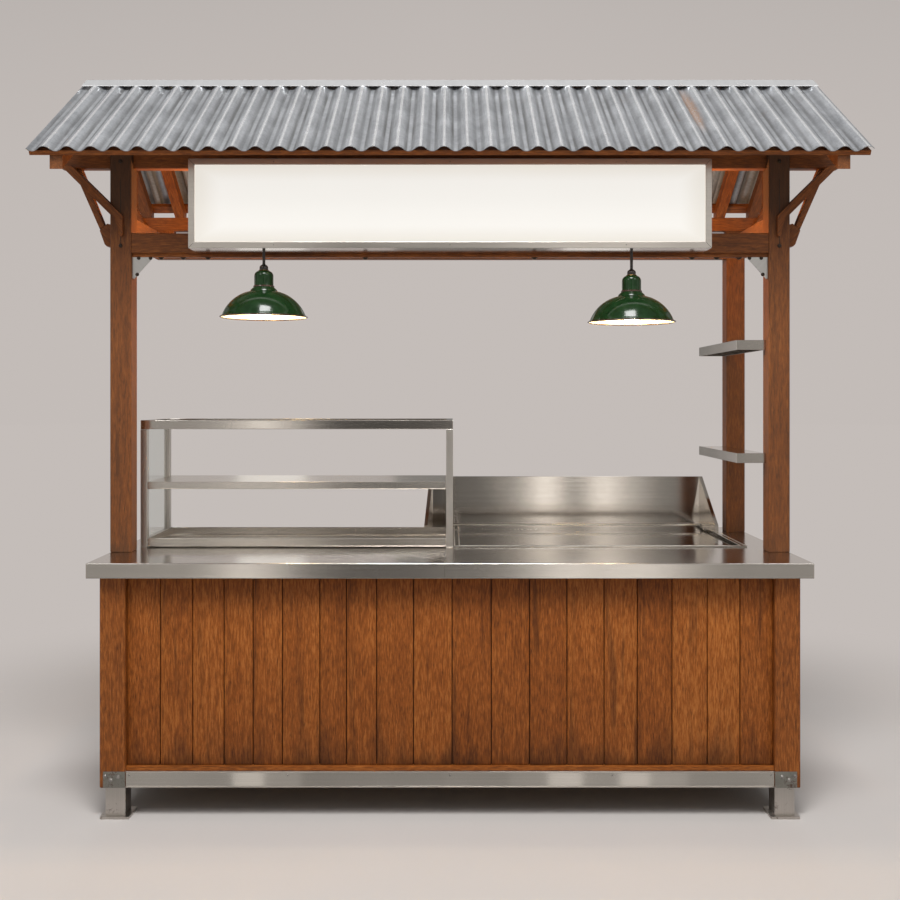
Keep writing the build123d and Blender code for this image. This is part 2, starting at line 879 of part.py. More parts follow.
def shade_profile(wall):
    """Draw the shade's half section from rim to crown, drawn in by its wall."""
    with BuildLine() as outline:
        rim = Line((0, 0), (lamp_shade_radius - 2 * wall, 0))
        lip = Polyline(rim @ 1, (lamp_shade_radius - 2 * wall, 3 - wall), (143 - wall, 10 - wall))
        dome = ThreePointArc(lip @ 1, (113 - 0.7 * wall, 56 - 0.7 * wall), (47 - 0.2 * wall, 92 - wall))
        collar = Polyline(dome @ 1, (45 - wall, 97 - wall), (34 - wall, 107 - wall), (33 - wall, 146 - wall))
        crown = ThreePointArc(collar @ 1, (27 - 0.8 * wall, 158 - 0.8 * wall), (15, lamp_shade_height - wall))
        Polyline(crown @ 1, (0, lamp_shade_height - wall), (0, 0))
    make_face(outline.edges())


def make_lamp(name, lamp_x, rim_height):
    """Build one pendant lamp: holder with its flex, enamelled shade and bulb."""
    side_plane = Plane(origin=(lamp_x, lamp_y, rim_height), x_dir=(1, 0, 0), z_dir=(0, -1, 0))
    spindle = Axis((lamp_x, lamp_y, rim_height), (0, 0, 1))

    flex_top = sign_bottom - rim_height
    with BuildPart() as holder:
        with BuildSketch(side_plane):
            with BuildLine():
                barrel = Polyline((0, 96), (lamp_holder_radius, 96), (lamp_holder_radius, 174))
                shoulder = ThreePointArc(barrel @ 1, (12.5, 180), (7, 184))
                Polyline(
                    shoulder @ 1,
                    (lamp_flex_radius, lamp_holder_top),
                    (lamp_flex_radius, flex_top),
                    (0, flex_top),
                    (0, 96),
                )
            make_face()
        revolve(axis=spindle)
    holder.part.label = name + "_holder"
    export_step(holder.part, "parts/" + name + "_holder.step")

    with BuildPart() as shade:
        with BuildSketch(side_plane):
            shade_profile(0)
        revolve(axis=spindle)
        with BuildSketch(side_plane):
            shade_profile(lamp_wall)
        revolve(axis=spindle, mode=Mode.SUBTRACT)
        with BuildSketch(Plane.XY.offset(rim_height + 90)):
            with Locations((lamp_x, lamp_y)):
                Circle(lamp_holder_radius)
        extrude(amount=lamp_shade_height, mode=Mode.SUBTRACT)
    shade.part.label = name + "_shade"
    export_step(shade.part, "parts/" + name + "_shade.step")

    with BuildPart() as bulb:
        with BuildSketch(side_plane):
            with BuildLine():
                globe = ThreePointArc((0, -2), (bulb_radius, bulb_radius - 2), (24, 46))
                neck = ThreePointArc(globe @ 1, (16, 60), (13.5, 74))
                Polyline(neck @ 1, (13.5, 96), (0, 96), (0, -2))
            make_face()
        revolve(axis=spindle)
    bulb.part.label = name + "_bulb"
    export_step(bulb.part, "parts/" + name + "_bulb.step")


# Pendant lamps under the sign
make_lamp("lamp_left", -645, 1674)
make_lamp("lamp_right", 629, 1657)

# Rack: four square tubes, a top frame, a lipped shelf, a tray and a glass end
rack_rail_bottom = rack_top - rack_rail_height
rack_middle = ((rack_left + rack_right) / 2, (rack_front + rack_back) / 2)
rack_length = rack_right - rack_left
rack_depth = rack_back - rack_front

with BuildPart() as rack_uprights:
    with BuildSketch(Plane.XY.offset(counter_height)):
        with Locations(rack_middle):
            with GridLocations(rack_length - rack_tube, rack_depth - rack_tube, 2, 2):
                Rectangle(rack_tube, rack_tube)
                Rectangle(rack_tube - 2 * rack_wall, rack_tube - 2 * rack_wall, mode=Mode.SUBTRACT)
    extrude(amount=rack_rail_bottom - counter_height)
rack_uprights.part.label = "rack_uprights"
export_step(rack_uprights.part, "parts/rack_uprights.step")

with BuildPart() as rack_top_frame:
    with BuildSketch(Plane.XY.offset(rack_rail_bottom)):
        with Locations(rack_middle):
            Rectangle(rack_length, rack_depth)
            Rectangle(rack_length - 2 * rack_tube, rack_depth - 2 * rack_tube, mode=Mode.SUBTRACT)
    extrude(amount=rack_rail_height)
rack_top_frame.part.label = "rack_top_frame"
export_step(rack_top_frame.part, "parts/rack_top_frame.step")

with BuildPart() as rack_shelf:
    with BuildSketch(Plane.XY.offset(rack_shelf_top - rack_shelf_lip)):
        with Locations(rack_middle):
            Rectangle(rack_length - 2 * rack_tube, rack_depth)
    extrude(amount=rack_shelf_lip)
    offset(amount=-stainless, openings=rack_shelf.faces().sort_by(Axis.Z)[0])
rack_shelf.part.label = "rack_shelf"
export_step(rack_shelf.part, "parts/rack_shelf.step")

with BuildPart() as rack_tray:
    with BuildSketch(Plane.XY.offset(counter_height)):
        with Locations(rack_middle):
            Rectangle(rack_length - 2 * rack_tube, rack_depth - 2 * rack_tube)
            with GridLocations(rack_length / 2, 0, 2, 1):
                Rectangle(20, rack_depth - 2 * rack_tube)
    extrude(amount=rack_tray_bottom - counter_height)
    with BuildSketch(Plane.XY.offset(rack_tray_bottom)):
        with Locations(rack_middle):
            Rectangle(rack_length - 2 * rack_tube, rack_depth)
    extrude(amount=rack_tray_lip)
    offset(amount=-stainless, openings=rack_tray.faces().sort_by(Axis.Z)[-1])
rack_tray.part.label = "rack_tray"
export_step(rack_tray.part, "parts/rack_tray.step")

with BuildPart() as rack_end_glass:
    bar(
        (rack_left + (rack_tube - glass_thickness) / 2, rack_left + (rack_tube + glass_thickness) / 2),
        (rack_front + rack_tube, rack_back - rack_tube),
        (counter_height, rack_rail_bottom),
    )
rack_end_glass.part.label = "rack_end_glass"
export_step(rack_end_glass.part, "parts/rack_end_glass.step")

# End shelves between the right-hand posts, with down-turned lips
with BuildPart() as end_shelves:
    for top in end_shelf_tops:
        x_range = (post_inner_x - end_shelf_width, post_inner_x)
        y_range = (end_shelf_front, end_shelf_back)
        bar(x_range, y_range, (top - end_shelf_lip, top))
        bar(
            (x_range[0] + stainless, x_range[1] - stainless),
            (y_range[0] + stainless, y_range[1] - stainless),
            (top - end_shelf_lip, top - stainless),
            mode=Mode.SUBTRACT,
        )
end_shelves.part.label = "end_shelves"
export_step(end_shelves.part, "parts/end_shelves.step")
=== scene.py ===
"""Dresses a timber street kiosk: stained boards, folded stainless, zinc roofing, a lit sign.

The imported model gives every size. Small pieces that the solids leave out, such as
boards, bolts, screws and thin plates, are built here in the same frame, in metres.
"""

import logging
import math
import random
from abc import ABC, abstractmethod
from dataclasses import dataclass
from enum import Enum
from typing import Callable, Sequence

import bmesh
import bpy
from mathutils import Matrix, Vector

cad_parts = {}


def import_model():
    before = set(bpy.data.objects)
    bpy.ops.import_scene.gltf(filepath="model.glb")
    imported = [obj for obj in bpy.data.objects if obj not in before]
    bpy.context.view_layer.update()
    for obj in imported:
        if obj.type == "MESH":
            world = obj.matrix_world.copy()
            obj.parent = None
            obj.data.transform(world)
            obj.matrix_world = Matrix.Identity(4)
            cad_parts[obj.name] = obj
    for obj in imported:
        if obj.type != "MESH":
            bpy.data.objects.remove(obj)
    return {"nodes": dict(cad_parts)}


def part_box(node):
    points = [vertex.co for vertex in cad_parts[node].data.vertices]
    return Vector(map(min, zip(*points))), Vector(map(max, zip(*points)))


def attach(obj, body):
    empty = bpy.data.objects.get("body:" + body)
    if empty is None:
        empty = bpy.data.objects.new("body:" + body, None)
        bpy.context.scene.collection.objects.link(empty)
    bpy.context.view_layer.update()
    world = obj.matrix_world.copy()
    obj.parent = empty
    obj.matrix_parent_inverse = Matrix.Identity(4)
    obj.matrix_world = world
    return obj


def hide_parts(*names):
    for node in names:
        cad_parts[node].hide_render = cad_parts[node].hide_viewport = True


LOG = logging.getLogger("kiosk")

Pair = tuple[float, float]
Triple = tuple[float, float, float]
Colour = tuple[float, float, float, float]
Feed = object  # an output socket, a number, a vector or a colour
Socket = bpy.types.NodeSocket
Shape = bmesh.types.BMesh

BODY = "root"
SMOOTH_ANGLE = math.radians(32)
BOARD_ATTRIBUTE = "board_tone"
MITRE_LINE = 0.0007
CARD_MEAN = 0.42
RUST_PATCH = (0.872, -0.026, 0.0)
FRONT = (0.0, -1.0, 0.0)
DOWN = (0.0, 0.0, -1.0)


class Run(Enum):
    """The way that grain, brush marks or rolling marks run on a piece."""

    UPRIGHT = (0.0, 0.0, 0.0)
    ALONG = (0.0, math.pi / 2, 0.0)
    ACROSS = (math.pi / 2, 0.0, 0.0)
    SLOPE = (math.radians(-57), 0.0, 0.0)
    BRACE = (0.0, math.radians(-45), 0.0)


class NodeSheet:
    """Adds and links shader nodes in one node tree."""

    def __init__(self, tree: bpy.types.NodeTree) -> None:
        """Take the node tree to work in."""
        self.tree = tree

    def add(self, kind: str, feeds: dict | None = None, **settings: object) -> bpy.types.Node:
        """Add one node.

        Args:
            kind: The node's type name.
            feeds: Input name or number to a socket or a plain value.
            **settings: Properties of the node.

        Returns:
            The new node.
        """
        node = self.tree.nodes.new(kind)
        for name, value in settings.items():
            setattr(node, name, value)
        self.wire(node, feeds or {})
        return node

    def wire(self, node: bpy.types.Node, feeds: dict) -> None:
        """Link sockets to a node's inputs, or set the inputs' own values.

        Args:
            node: The node.
            feeds: Input name or number to a socket or a plain value.
        """
        for key, feed in feeds.items():
            if isinstance(feed, Socket):
                self.tree.links.new(feed, node.inputs[key])
            else:
                node.inputs[key].default_value = feed

    def place(self) -> Socket:
        """Return the object coordinates."""
        return self.add("ShaderNodeTexCoord").outputs["Object"]

    def split(self, vector: Feed) -> list[Socket]:
        """Return a vector's three parts."""
        return list(self.add("ShaderNodeSeparateXYZ", {0: vector}).outputs)

    def vector(self, operation: str, first: Feed, second: Feed = (0.0, 0.0, 0.0)) -> Socket:
        """Return the vector that comes of one sum on two vectors."""
        return self.add("ShaderNodeVectorMath", {0: first, 1: second}, operation=operation).outputs[0]

    def math(self, operation: str, first: Feed, second: Feed = 0.0, clamp: bool = False) -> Socket:
        """Return the value that comes of one sum on two values."""
        feeds = {0: first, 1: second}
        return self.add("ShaderNodeMath", feeds, operation=operation, use_clamp=clamp).outputs[0]

    def total(self, *parts: tuple[Feed, float]) -> Socket:
        """Add values up.

        Args:
            *parts: Each value and the factor that it is taken times.

        Returns:
            The sum.
        """
        outcome: Feed = 0.0
        for value, factor in parts:
            feeds = {0: value, 1: factor, 2: outcome}
            outcome = self.add("ShaderNodeMath", feeds, operation="MULTIPLY_ADD").outputs[0]
        return outcome

    def mix(self, share: Feed, low: Feed, high: Feed) -> Socket:
        """Return a colour between two colours, blended by a share."""
        return self.add("ShaderNodeMix", {0: share, 6: low, 7: high}, data_type="RGBA").outputs[2]

    def span(self, value: Feed, low: float, high: float, start: Feed = 0.0, end: Feed = 1.0) -> Socket:
        """Return a value remapped from low..high to start..end, held at both ends."""
        feeds = {"Value": value, "From Min": low, "From Max": high, "To Min": start, "To Max": end}
        return self.add("ShaderNodeMapRange", feeds, interpolation_type="SMOOTHSTEP").outputs[0]

    def noise(self, vector: Feed, scale: float, detail: float = 2.0, rough: float = 0.5) -> Socket:
        """Return a noise value, from about 0 to 1."""
        feeds = {"Vector": vector, "Scale": scale, "Detail": detail, "Roughness": rough}
        return self.add("ShaderNodeTexNoise", feeds).outputs["Fac"]

    def streaks(self, vector: Feed, squeeze: float, scale: float, detail: float, rough: float) -> Socket:
        """Return a noise value drawn out along Z."""
        return self.noise(self.vector("MULTIPLY", vector, (1.0, 1.0, squeeze)), scale, detail, rough)

    def group(self, tree: bpy.types.NodeTree, feeds: dict) -> dict[str, Socket]:
        """Return the outputs, by name, of a node group placed with these inputs."""
        outputs = self.add("ShaderNodeGroup", feeds, node_tree=tree).outputs
        return {socket.name: socket for socket in outputs}

    def bump(self, shader: bpy.types.Node, height: Feed, strength: float, depth: float) -> None:
        """Give the shader a bump from a height value."""
        feeds = {"Height": height, "Strength": strength, "Distance": depth}
        self.wire(shader, {"Normal": self.add("ShaderNodeBump", feeds).outputs[0]})


def shader_group(
    name: str,
    inputs: dict[str, float | None],
    outputs: dict[str, str],
    fill: Callable[[NodeSheet, dict], dict],
) -> bpy.types.NodeTree:
    """Make a shader node group, or return the one already made.

    Args:
        name: The group's name.
        inputs: Starting value of each input, or None for a vector.
        outputs: Kind of each output.
        fill: Builds the nodes from the inputs' sockets and returns the outputs' sockets.

    Returns:
        The group.
    """
    group = bpy.data.node_groups.get(name)
    if group is not None:
        return group
    group = bpy.data.node_groups.new(name, "ShaderNodeTree")
    for label, value in inputs.items():
        kind = "NodeSocketVector" if value is None else "NodeSocketFloat"
        socket = group.interface.new_socket(label, in_out="INPUT", socket_type=kind)
        if value is not None:
            socket.default_value = value
    for label, kind in outputs.items():
        group.interface.new_socket(label, in_out="OUTPUT", socket_type="NodeSocket" + kind)
    sheet = NodeSheet(group)
    source = sheet.add("NodeGroupInput")
    sheet.add("NodeGroupOutput", fill(sheet, {item.name: item for item in source.outputs}))
    return group


def grain_group() -> bpy.types.NodeTree:
    """Return the group that draws stained hardwood with its grain along Z."""

    def fill(sheet: NodeSheet, given: dict) -> dict:
        """Build fibres, figure, pores and blotches."""
        vector = given["Vector"]
        fibre = sheet.streaks(vector, 0.13, 215.0, 5.0, 0.66)
        pores = sheet.streaks(vector, 0.09, 330.0, 3.0, 0.6)
        bow = sheet.streaks(vector, 0.11, 7.0, 3.0, 0.45)
        figure = sheet.span(sheet.math("SINE", sheet.math("MULTIPLY", bow, 95.0)), -1.0, 0.9)
        patch = sheet.streaks(vector, 0.35, 6.0, 4.0, 0.55)
        streak = sheet.streaks(vector, 0.05, 36.0, 4.0, 0.6)
        light = sheet.total(
            (sheet.span(fibre, 0.30, 0.70), 0.52),
            (figure, 0.07),
            (sheet.span(patch, 0.25, 0.75), 0.17),
            (given["Tone"], 0.24),
            (1.0, 0.11),
        )
        ramp = sheet.add("ShaderNodeValToRGB", {"Fac": light})
        ramp.color_ramp.elements[0].color = (0.090, 0.023, 0.004, 1.0)
        ramp.color_ramp.elements[1].color = (0.520, 0.180, 0.036, 1.0)
        ramp.color_ramp.elements.new(0.5).color = (0.280, 0.077, 0.010, 1.0)
        pore_mask = sheet.math("MULTIPLY", sheet.span(pores, 0.54, 0.70), 0.6)
        streak_mask = sheet.math("MULTIPLY", sheet.span(streak, 0.56, 0.70), 0.50)
        dark = sheet.math("MAXIMUM", pore_mask, streak_mask)
        colour = sheet.mix(dark, ramp.outputs[0], (0.034, 0.010, 0.003, 1.0))
        # This input darkens the colour for real damp stains and for the painted roof shade, which come in on
        # it together.
        damp_and_shade = sheet.math("MULTIPLY", given["Stain"], 0.70)
        colour = sheet.mix(damp_and_shade, colour, (0.022, 0.011, 0.006, 1.0))
        colour = sheet.mix(given["Age"], colour, (0.088, 0.052, 0.032, 1.0))
        rough = sheet.total((fibre, 0.22), (pores, 0.22), (given["Stain"], 0.18), (1.0, 0.28))
        return {"Colour": colour, "Roughness": rough, "Height": sheet.total((fibre, 1.0), (pores, -0.6))}

    inputs = {"Vector": None, "Tone": 0.0, "Stain": 0.0, "Age": 0.0}
    outputs = {"Colour": "Color", "Roughness": "Float", "Height": "Float"}
    return shader_group("stained_grain", inputs, outputs, fill)


def damp_group() -> bpy.types.NodeTree:
    """Return the group that masks damp stains creeping up from a level."""

    def fill(sheet: NodeSheet, given: dict) -> dict:
        """Build a ragged edge between the foot of the stain and its reach."""
        vector = given["Vector"]
        climb = sheet.streaks(vector, 0.12, 22.0, 3.0, 0.6)
        reach = sheet.math("MULTIPLY", given["Reach"], sheet.span(climb, 0.3, 0.75, 0.25, 1.6))
        share = sheet.math("DIVIDE", sheet.math("SUBTRACT", sheet.split(vector)[2], given["Foot"]), reach)
        foot = sheet.math("SUBTRACT", 1.0, share, clamp=True)
        blotch = sheet.streaks(vector, 0.3, 13.0, 4.0, 0.6)
        mask = sheet.math("MULTIPLY", foot, sheet.span(blotch, 0.35, 0.62, 0.35, 1.0))
        loose = sheet.math("MULTIPLY", sheet.span(blotch, 0.62, 0.74), given["Loose"])
        return {"Mask": sheet.math("MAXIMUM", mask, loose)}

    inputs = {"Vector": None, "Foot": 0.0, "Reach": 0.1, "Loose": 0.3}
    return shader_group("damp_stain", inputs, {"Mask": "Float"}, fill)


def brush_group() -> bpy.types.NodeTree:
    """Return the group that draws brush marks running along Z."""

    def fill(sheet: NodeSheet, given: dict) -> dict:
        """Build fine lines, broad lines and cloudy wear."""
        vector = given["Vector"]
        fine = sheet.streaks(vector, 0.002, 2600.0, 2.0, 0.6)
        broad = sheet.streaks(vector, 0.006, 230.0, 3.0, 0.6)
        cloud = sheet.noise(sheet.vector("MULTIPLY", vector, (0.5, 0.5, 1.0)), 3.4)
        return {"Value": sheet.total((fine, 0.4), (broad, 0.6)), "Height": fine, "Cloud": cloud}

    outputs = {"Value": "Float", "Height": "Float", "Cloud": "Float"}
    return shader_group("brush_marks", {"Vector": None}, outputs, fill)


def rust_group() -> bpy.types.NodeTree:
    """Return the group that masks scattered rust and soot spots."""

    def fill(sheet: NodeSheet, given: dict) -> dict:
        """Build spots that gather in patches."""
        patch = sheet.noise(given["Vector"], 9.0, 4.0, 0.6)
        spot = sheet.noise(given["Vector"], 120.0, 3.0, 0.7)
        level = sheet.math("ADD", sheet.total((patch, 0.65), (spot, 0.35)), given["Amount"])
        return {"Mask": sheet.span(level, 0.58, 0.70)}

    return shader_group("rust_spots", {"Vector": None, "Amount": 0.0}, {"Mask": "Float"}, fill)


def run_vector(sheet: NodeSheet, run: Run) -> Socket:
    """Turn the object coordinates so that the run lies along Z.

    Args:
        sheet: The material's nodes.
        run: The way the marks run. The two leaning runs fold both sides onto one.

    Returns:
        The vector's socket.
    """
    vector = sheet.place()
    if run in (Run.SLOPE, Run.BRACE):
        vector = sheet.vector("ABSOLUTE", vector)
    return sheet.add("ShaderNodeMapping", {"Vector": vector, "Rotation": run.value}).outputs[0]


def from_rim(
    sheet: NodeSheet, half_length: float, middle: float, half_height: float
) -> tuple[Socket, Socket]:
    """Measure how far a point on an upright panel lies inside its rim.

    Args:
        sheet: The material's nodes.
        half_length: Half of the panel's length along X.
        middle: Level of the panel's middle.
        half_height: Half of the panel's height.

    Returns:
        The distance from the nearer end, and from the nearer of the top and the foot.
    """
    parts = sheet.split(sheet.place())
    rise = sheet.math("ABSOLUTE", sheet.math("SUBTRACT", parts[2], middle))
    from_end = sheet.math("SUBTRACT", half_length, sheet.math("ABSOLUTE", parts[0]))
    return from_end, sheet.math("SUBTRACT", half_height, rise)


def tint(colour: Colour, factor: float) -> Colour:
    """Return a colour made darker or lighter by a factor."""
    return tuple(min(1.0, part * factor) for part in colour[:3]) + (1.0,)


def new_material(name: str) -> tuple[bpy.types.Material, NodeSheet, bpy.types.Node]:
    """Return a new material, its nodes and its Principled shader."""
    material = bpy.data.materials.new(name)
    material.use_nodes = True
    return material, NodeSheet(material.node_tree), material.node_tree.nodes["Principled BSDF"]


class Finish(ABC):
    """A finish, whose material is made on its first use."""

    name: str

    def label(self) -> str:
        """Return the material's name."""
        return self.name

    def material(self) -> bpy.types.Material:
        """Return the finish's material."""
        material = bpy.data.materials.get(self.label())
        if material is None:
            material, sheet, shader = new_material(self.label())
            self.paint(sheet, shader)
        return material

    @abstractmethod
    def paint(self, sheet: NodeSheet, shader: bpy.types.Node) -> None:
        """Feed the shader from nodes on the sheet."""


@dataclass(frozen=True)
class StainedTimber(Finish):
    """Hardwood stained red brown, its grain along one run."""

    run: Run
    tone: float = 0.0
    foot: float = -9.0
    reach: float = 0.1
    loose: float = 0.25
    age: float = 0.0
    # Level above which the timber is darkened as painted shade from the roof; 9 m is none.
    roof_shade_level: float = 9.0

    def label(self) -> str:
        """Return the material's name, with its numbers in it."""
        parts = (self.tone, self.foot, self.age, self.roof_shade_level)
        numbers = [str(round(part * 100) % 1000) for part in parts]
        return "_".join(["timber", self.run.name.lower(), *numbers])

    def paint(self, sheet: NodeSheet, shader: bpy.types.Node) -> None:
        """Feed the shader from the grain, with damp at the foot and a painted shade above a set level that
        stands for the roof's shadow.

        Args:
            sheet: The material's nodes.
            shader: Its Principled shader.
        """
        board = sheet.add("ShaderNodeAttribute", attribute_name=BOARD_ATTRIBUTE).outputs["Fac"]
        jump = sheet.math("MULTIPLY", board, 37.0)
        shift = sheet.add("ShaderNodeCombineXYZ", {0: jump, 1: jump, 2: jump}).outputs[0]
        place = sheet.place()
        damp = {"Vector": place, "Foot": self.foot, "Reach": self.reach, "Loose": self.loose}
        # Painted shade: the timber darkens above the level where the roof shades it.
        roof_shade = sheet.span(sheet.split(place)[2], self.roof_shade_level, self.roof_shade_level + 0.16, 0.0, 1.1)
        feeds = {
            "Vector": sheet.vector("ADD", run_vector(sheet, self.run), shift),
            "Tone": sheet.math("ADD", board, self.tone),
            "Stain": sheet.math("MAXIMUM", sheet.group(damp_group(), damp)["Mask"], roof_shade),
            "Age": self.age,
        }
        grain = sheet.group(grain_group(), feeds)
        sheet.wire(shader, {"Base Color": grain["Colour"], "Roughness": grain["Roughness"]})
        sheet.wire(shader, {"Specular IOR Level": 0.22})
        sheet.bump(shader, grain["Height"], 0.35, 0.0006)


@dataclass(frozen=True)
class BrushedSteel(Finish):
    """Stainless or worn steel with brush marks along one run.

    A rust of -1 is none, and a mitre is a frame's half length, middle level and half height.
    """

    name: str
    run: Run
    colour: Colour = (0.60, 0.56, 0.515, 1.0)
    rough: float = 0.14
    rust: float = -1.0
    mitre: Triple | None = None

    def label(self) -> str:
        """Return the material's name, with its run in it."""
        return f"{self.name}_{self.run.name.lower()}"

    def paint(self, sheet: NodeSheet, shader: bpy.types.Node) -> None:
        """Feed the shader from the brush marks, rust and mitre joints.

        Args:
            sheet: The material's nodes.
            shader: Its Principled shader.
        """
        marks = sheet.group(brush_group(), {"Vector": run_vector(sheet, self.run)})
        value, cloud = marks["Value"], marks["Cloud"]
        light = sheet.total((sheet.span(value, 0.35, 0.65), 0.5), (sheet.span(cloud, 0.3, 0.7), 0.5))
        colour = sheet.mix(light, tint(self.colour, 0.90), tint(self.colour, 1.06))
        fine, broad = sheet.span(value, 0.3, 0.7), sheet.span(cloud, 0.3, 0.7)
        rough = sheet.total((fine, 0.02), (broad, 0.03), (1.0, self.rough - 0.025))
        metal: Feed = 1.0
        if self.rust > -1.0:
            mask = sheet.group(rust_group(), {"Vector": sheet.place(), "Amount": self.rust})["Mask"]
            colour = sheet.mix(mask, colour, (0.075, 0.032, 0.016, 1.0))
            rough = sheet.math("ADD", rough, sheet.math("MULTIPLY", mask, 0.4), clamp=True)
            metal = sheet.math("SUBTRACT", 1.0, sheet.math("MULTIPLY", mask, 0.85))
        if self.mitre:
            apart = sheet.math("ABSOLUTE", sheet.math("SUBTRACT", *from_rim(sheet, *self.mitre)))
            line = sheet.math("LESS_THAN", apart, MITRE_LINE)
            colour = sheet.mix(line, colour, (0.05, 0.045, 0.04, 1.0))
        sheet.wire(shader, {"Base Color": colour, "Roughness": rough, "Metallic": metal})
        sheet.bump(shader, marks["Height"], 0.10, 0.0002)


@dataclass(frozen=True)
class WeatheredZinc(Finish):
    """Galvanised sheet: spangle, grey film, painted highlights on the crests, and brown dirt with painted
    shade lying in the valleys.
    """

    name: str
    valley: float
    depth: float
    pitch: float

    def _height(self, sheet: NodeSheet) -> Callable[..., Socket]:
        """Return a function that remaps the height in the waves, from 0 in a valley to 1 on a crest."""
        parts = sheet.split(sheet.place())
        side = sheet.math("ABSOLUTE", parts[1])
        level = sheet.total((side, math.sin(self.pitch)), (parts[2], math.cos(self.pitch)))

        def height(low: float, high: float, start: float = 0.0, end: float = 1.0) -> Socket:
            """Return the height remapped from low..high to start..end."""
            low, high = self.valley + low * self.depth, self.valley + high * self.depth
            return sheet.span(level, low, high, start, end)

        return height

    def paint(self, sheet: NodeSheet, shader: bpy.types.Node) -> None:
        """Feed the shader from the spangle, film, dirt with painted shade in the valleys, painted crest
        highlights and rust.

        Args:
            sheet: The material's nodes.
            shader: Its Principled shader.
        """
        place, vector = sheet.place(), run_vector(sheet, Run.SLOPE)
        crystal = sheet.add("ShaderNodeTexVoronoi", {"Vector": vector, "Scale": 130.0}).outputs["Color"]
        crystal = sheet.add("ShaderNodeSeparateColor", {0: crystal}).outputs[0]
        film = sheet.noise(vector, 9.0, 5.0, 0.62)
        wash = sheet.streaks(vector, 0.07, 60.0, 4.0, 0.6)
        clouds, runs = sheet.span(film, 0.3, 0.7), sheet.span(wash, 0.3, 0.7)
        light = sheet.total((crystal, 0.26), (clouds, 0.40), (runs, 0.34))
        colour = sheet.mix(light, (0.27, 0.284, 0.305, 1.0), (0.62, 0.64, 0.67, 1.0))
        height = self._height(sheet)
        # Painted shade: the lower sides of each wave are darkened, less so in a thin line at the valley
        # bottom, and broken up by the wash streaks as dirt.
        flank_shade = sheet.math("MULTIPLY", height(0.85, 0.22), height(0.13, 0.20, 0.2, 1.0))
        grime_and_shade = sheet.math("MULTIPLY", flank_shade, sheet.span(wash, 0.35, 0.65, 0.45, 0.85))
        colour = sheet.mix(grime_and_shade, colour, (0.055, 0.052, 0.050, 1.0))
        # Painted highlight: a pale line along the top of each crest.
        crest = height(1.075, 1.115, 0.0, 0.7)
        colour = sheet.mix(crest, colour, (0.90, 0.91, 0.92, 1.0))
        spots = sheet.group(rust_group(), {"Vector": place, "Amount": -0.035})["Mask"]
        feeds = {0: sheet.vector("MULTIPLY", place, (1.0, 0.11, 0.0)), 1: RUST_PATCH}
        apart = sheet.add("ShaderNodeVectorMath", feeds, operation="DISTANCE").outputs["Value"]
        speckle = sheet.span(sheet.noise(vector, 150.0, 3.0, 0.7), 0.38, 0.60, 0.15, 0.95)
        patch = sheet.math("MULTIPLY", sheet.span(apart, 0.026, 0.010), speckle)
        rust = sheet.math("MAXIMUM", sheet.math("MULTIPLY", spots, 0.55), patch)
        feeds = {
            "Base Color": sheet.mix(rust, colour, (0.27, 0.15, 0.085, 1.0)),
            "Metallic": sheet.total((1.0, 0.60), (rust, -0.5), (grime_and_shade, -0.3)),
            "Roughness": sheet.total((1.0, 0.26), (film, 0.12), (rust, 0.3), (grime_and_shade, 0.2), (crest, -0.1)),
        }
        sheet.wire(shader, feeds)
        sheet.bump(shader, sheet.total((film, 0.6), (wash, 0.4)), 0.25, 0.0008)


@dataclass(frozen=True)
class Gloss(Finish):
    """A smooth coloured finish, such as enamel, bakelite or dark bolt steel."""

    name: str
    colour: Colour
    rough: float
    coat: float = 0.0
    metallic: float = 0.0
    shine: float = 0.5
    glow: Colour = (0.0, 0.0, 0.0, 1.0)
    glow_strength: float = 0.0

    def paint(self, sheet: NodeSheet, shader: bpy.types.Node) -> None:
        """Feed the shader from a cloudy wear, and light it where it glows.

        Args:
            sheet: The material's nodes.
            shader: Its Principled shader.
        """
        wear = sheet.noise(sheet.place(), 38.0, 4.0, 0.6)
        low, high = tint(self.colour, 0.78), tint(self.colour, 1.18)
        feeds = {
            "Base Color": sheet.mix(sheet.span(wear, 0.3, 0.7), low, high),
            "Roughness": sheet.span(wear, 0.25, 0.75, self.rough * 0.8, self.rough * 1.25),
            "Metallic": self.metallic,
            "Specular IOR Level": self.shine,
            "Coat Weight": self.coat,
            "Coat Roughness": 0.04,
        }
        if self.glow_strength > 0.0:
            share = sheet.span(wear, 0.2, 0.8)
            feeds["Emission Color"] = sheet.mix(share, self.glow, (1.0, 0.86, 0.6, 1.0))
            feeds["Emission Strength"] = self.glow_strength
        sheet.wire(shader, feeds)
        sheet.bump(shader, wear, 0.05, 0.0004)


@dataclass(frozen=True)
class Opal(Finish):
    """The sign's lit face, a little dimmer towards its edges."""

    half_length: float
    middle: float
    half_height: float
    name = "opal_lit"

    def paint(self, sheet: NodeSheet, shader: bpy.types.Node) -> None:
        """Feed the shader a warm white glow.

        Args:
            sheet: The material's nodes.
            shader: Its Principled shader.
        """
        from_end, from_edge = from_rim(sheet, self.half_length, self.middle, self.half_height)
        inward = sheet.math("MINIMUM", sheet.span(from_end, 0.0, 0.10), sheet.span(from_edge, 0.0, 0.06))
        share = sheet.total((inward, 0.85), (sheet.noise(sheet.place(), 2.2), 0.3))
        camera = sheet.add("ShaderNodeLightPath").outputs["Is Camera Ray"]
        feeds = {
            "Base Color": sheet.mix(share, (0.10, 0.095, 0.085, 1.0), (0.12, 0.115, 0.105, 1.0)),
            "Roughness": 0.35,
            "Specular IOR Level": 0.25,
            "Emission Color": sheet.mix(share, (0.86, 0.815, 0.74, 1.0), (0.955, 0.93, 0.885, 1.0)),
            "Emission Strength": sheet.span(camera, 0.0, 1.0, 2.0, 0.872),
        }
        sheet.wire(shader, feeds)


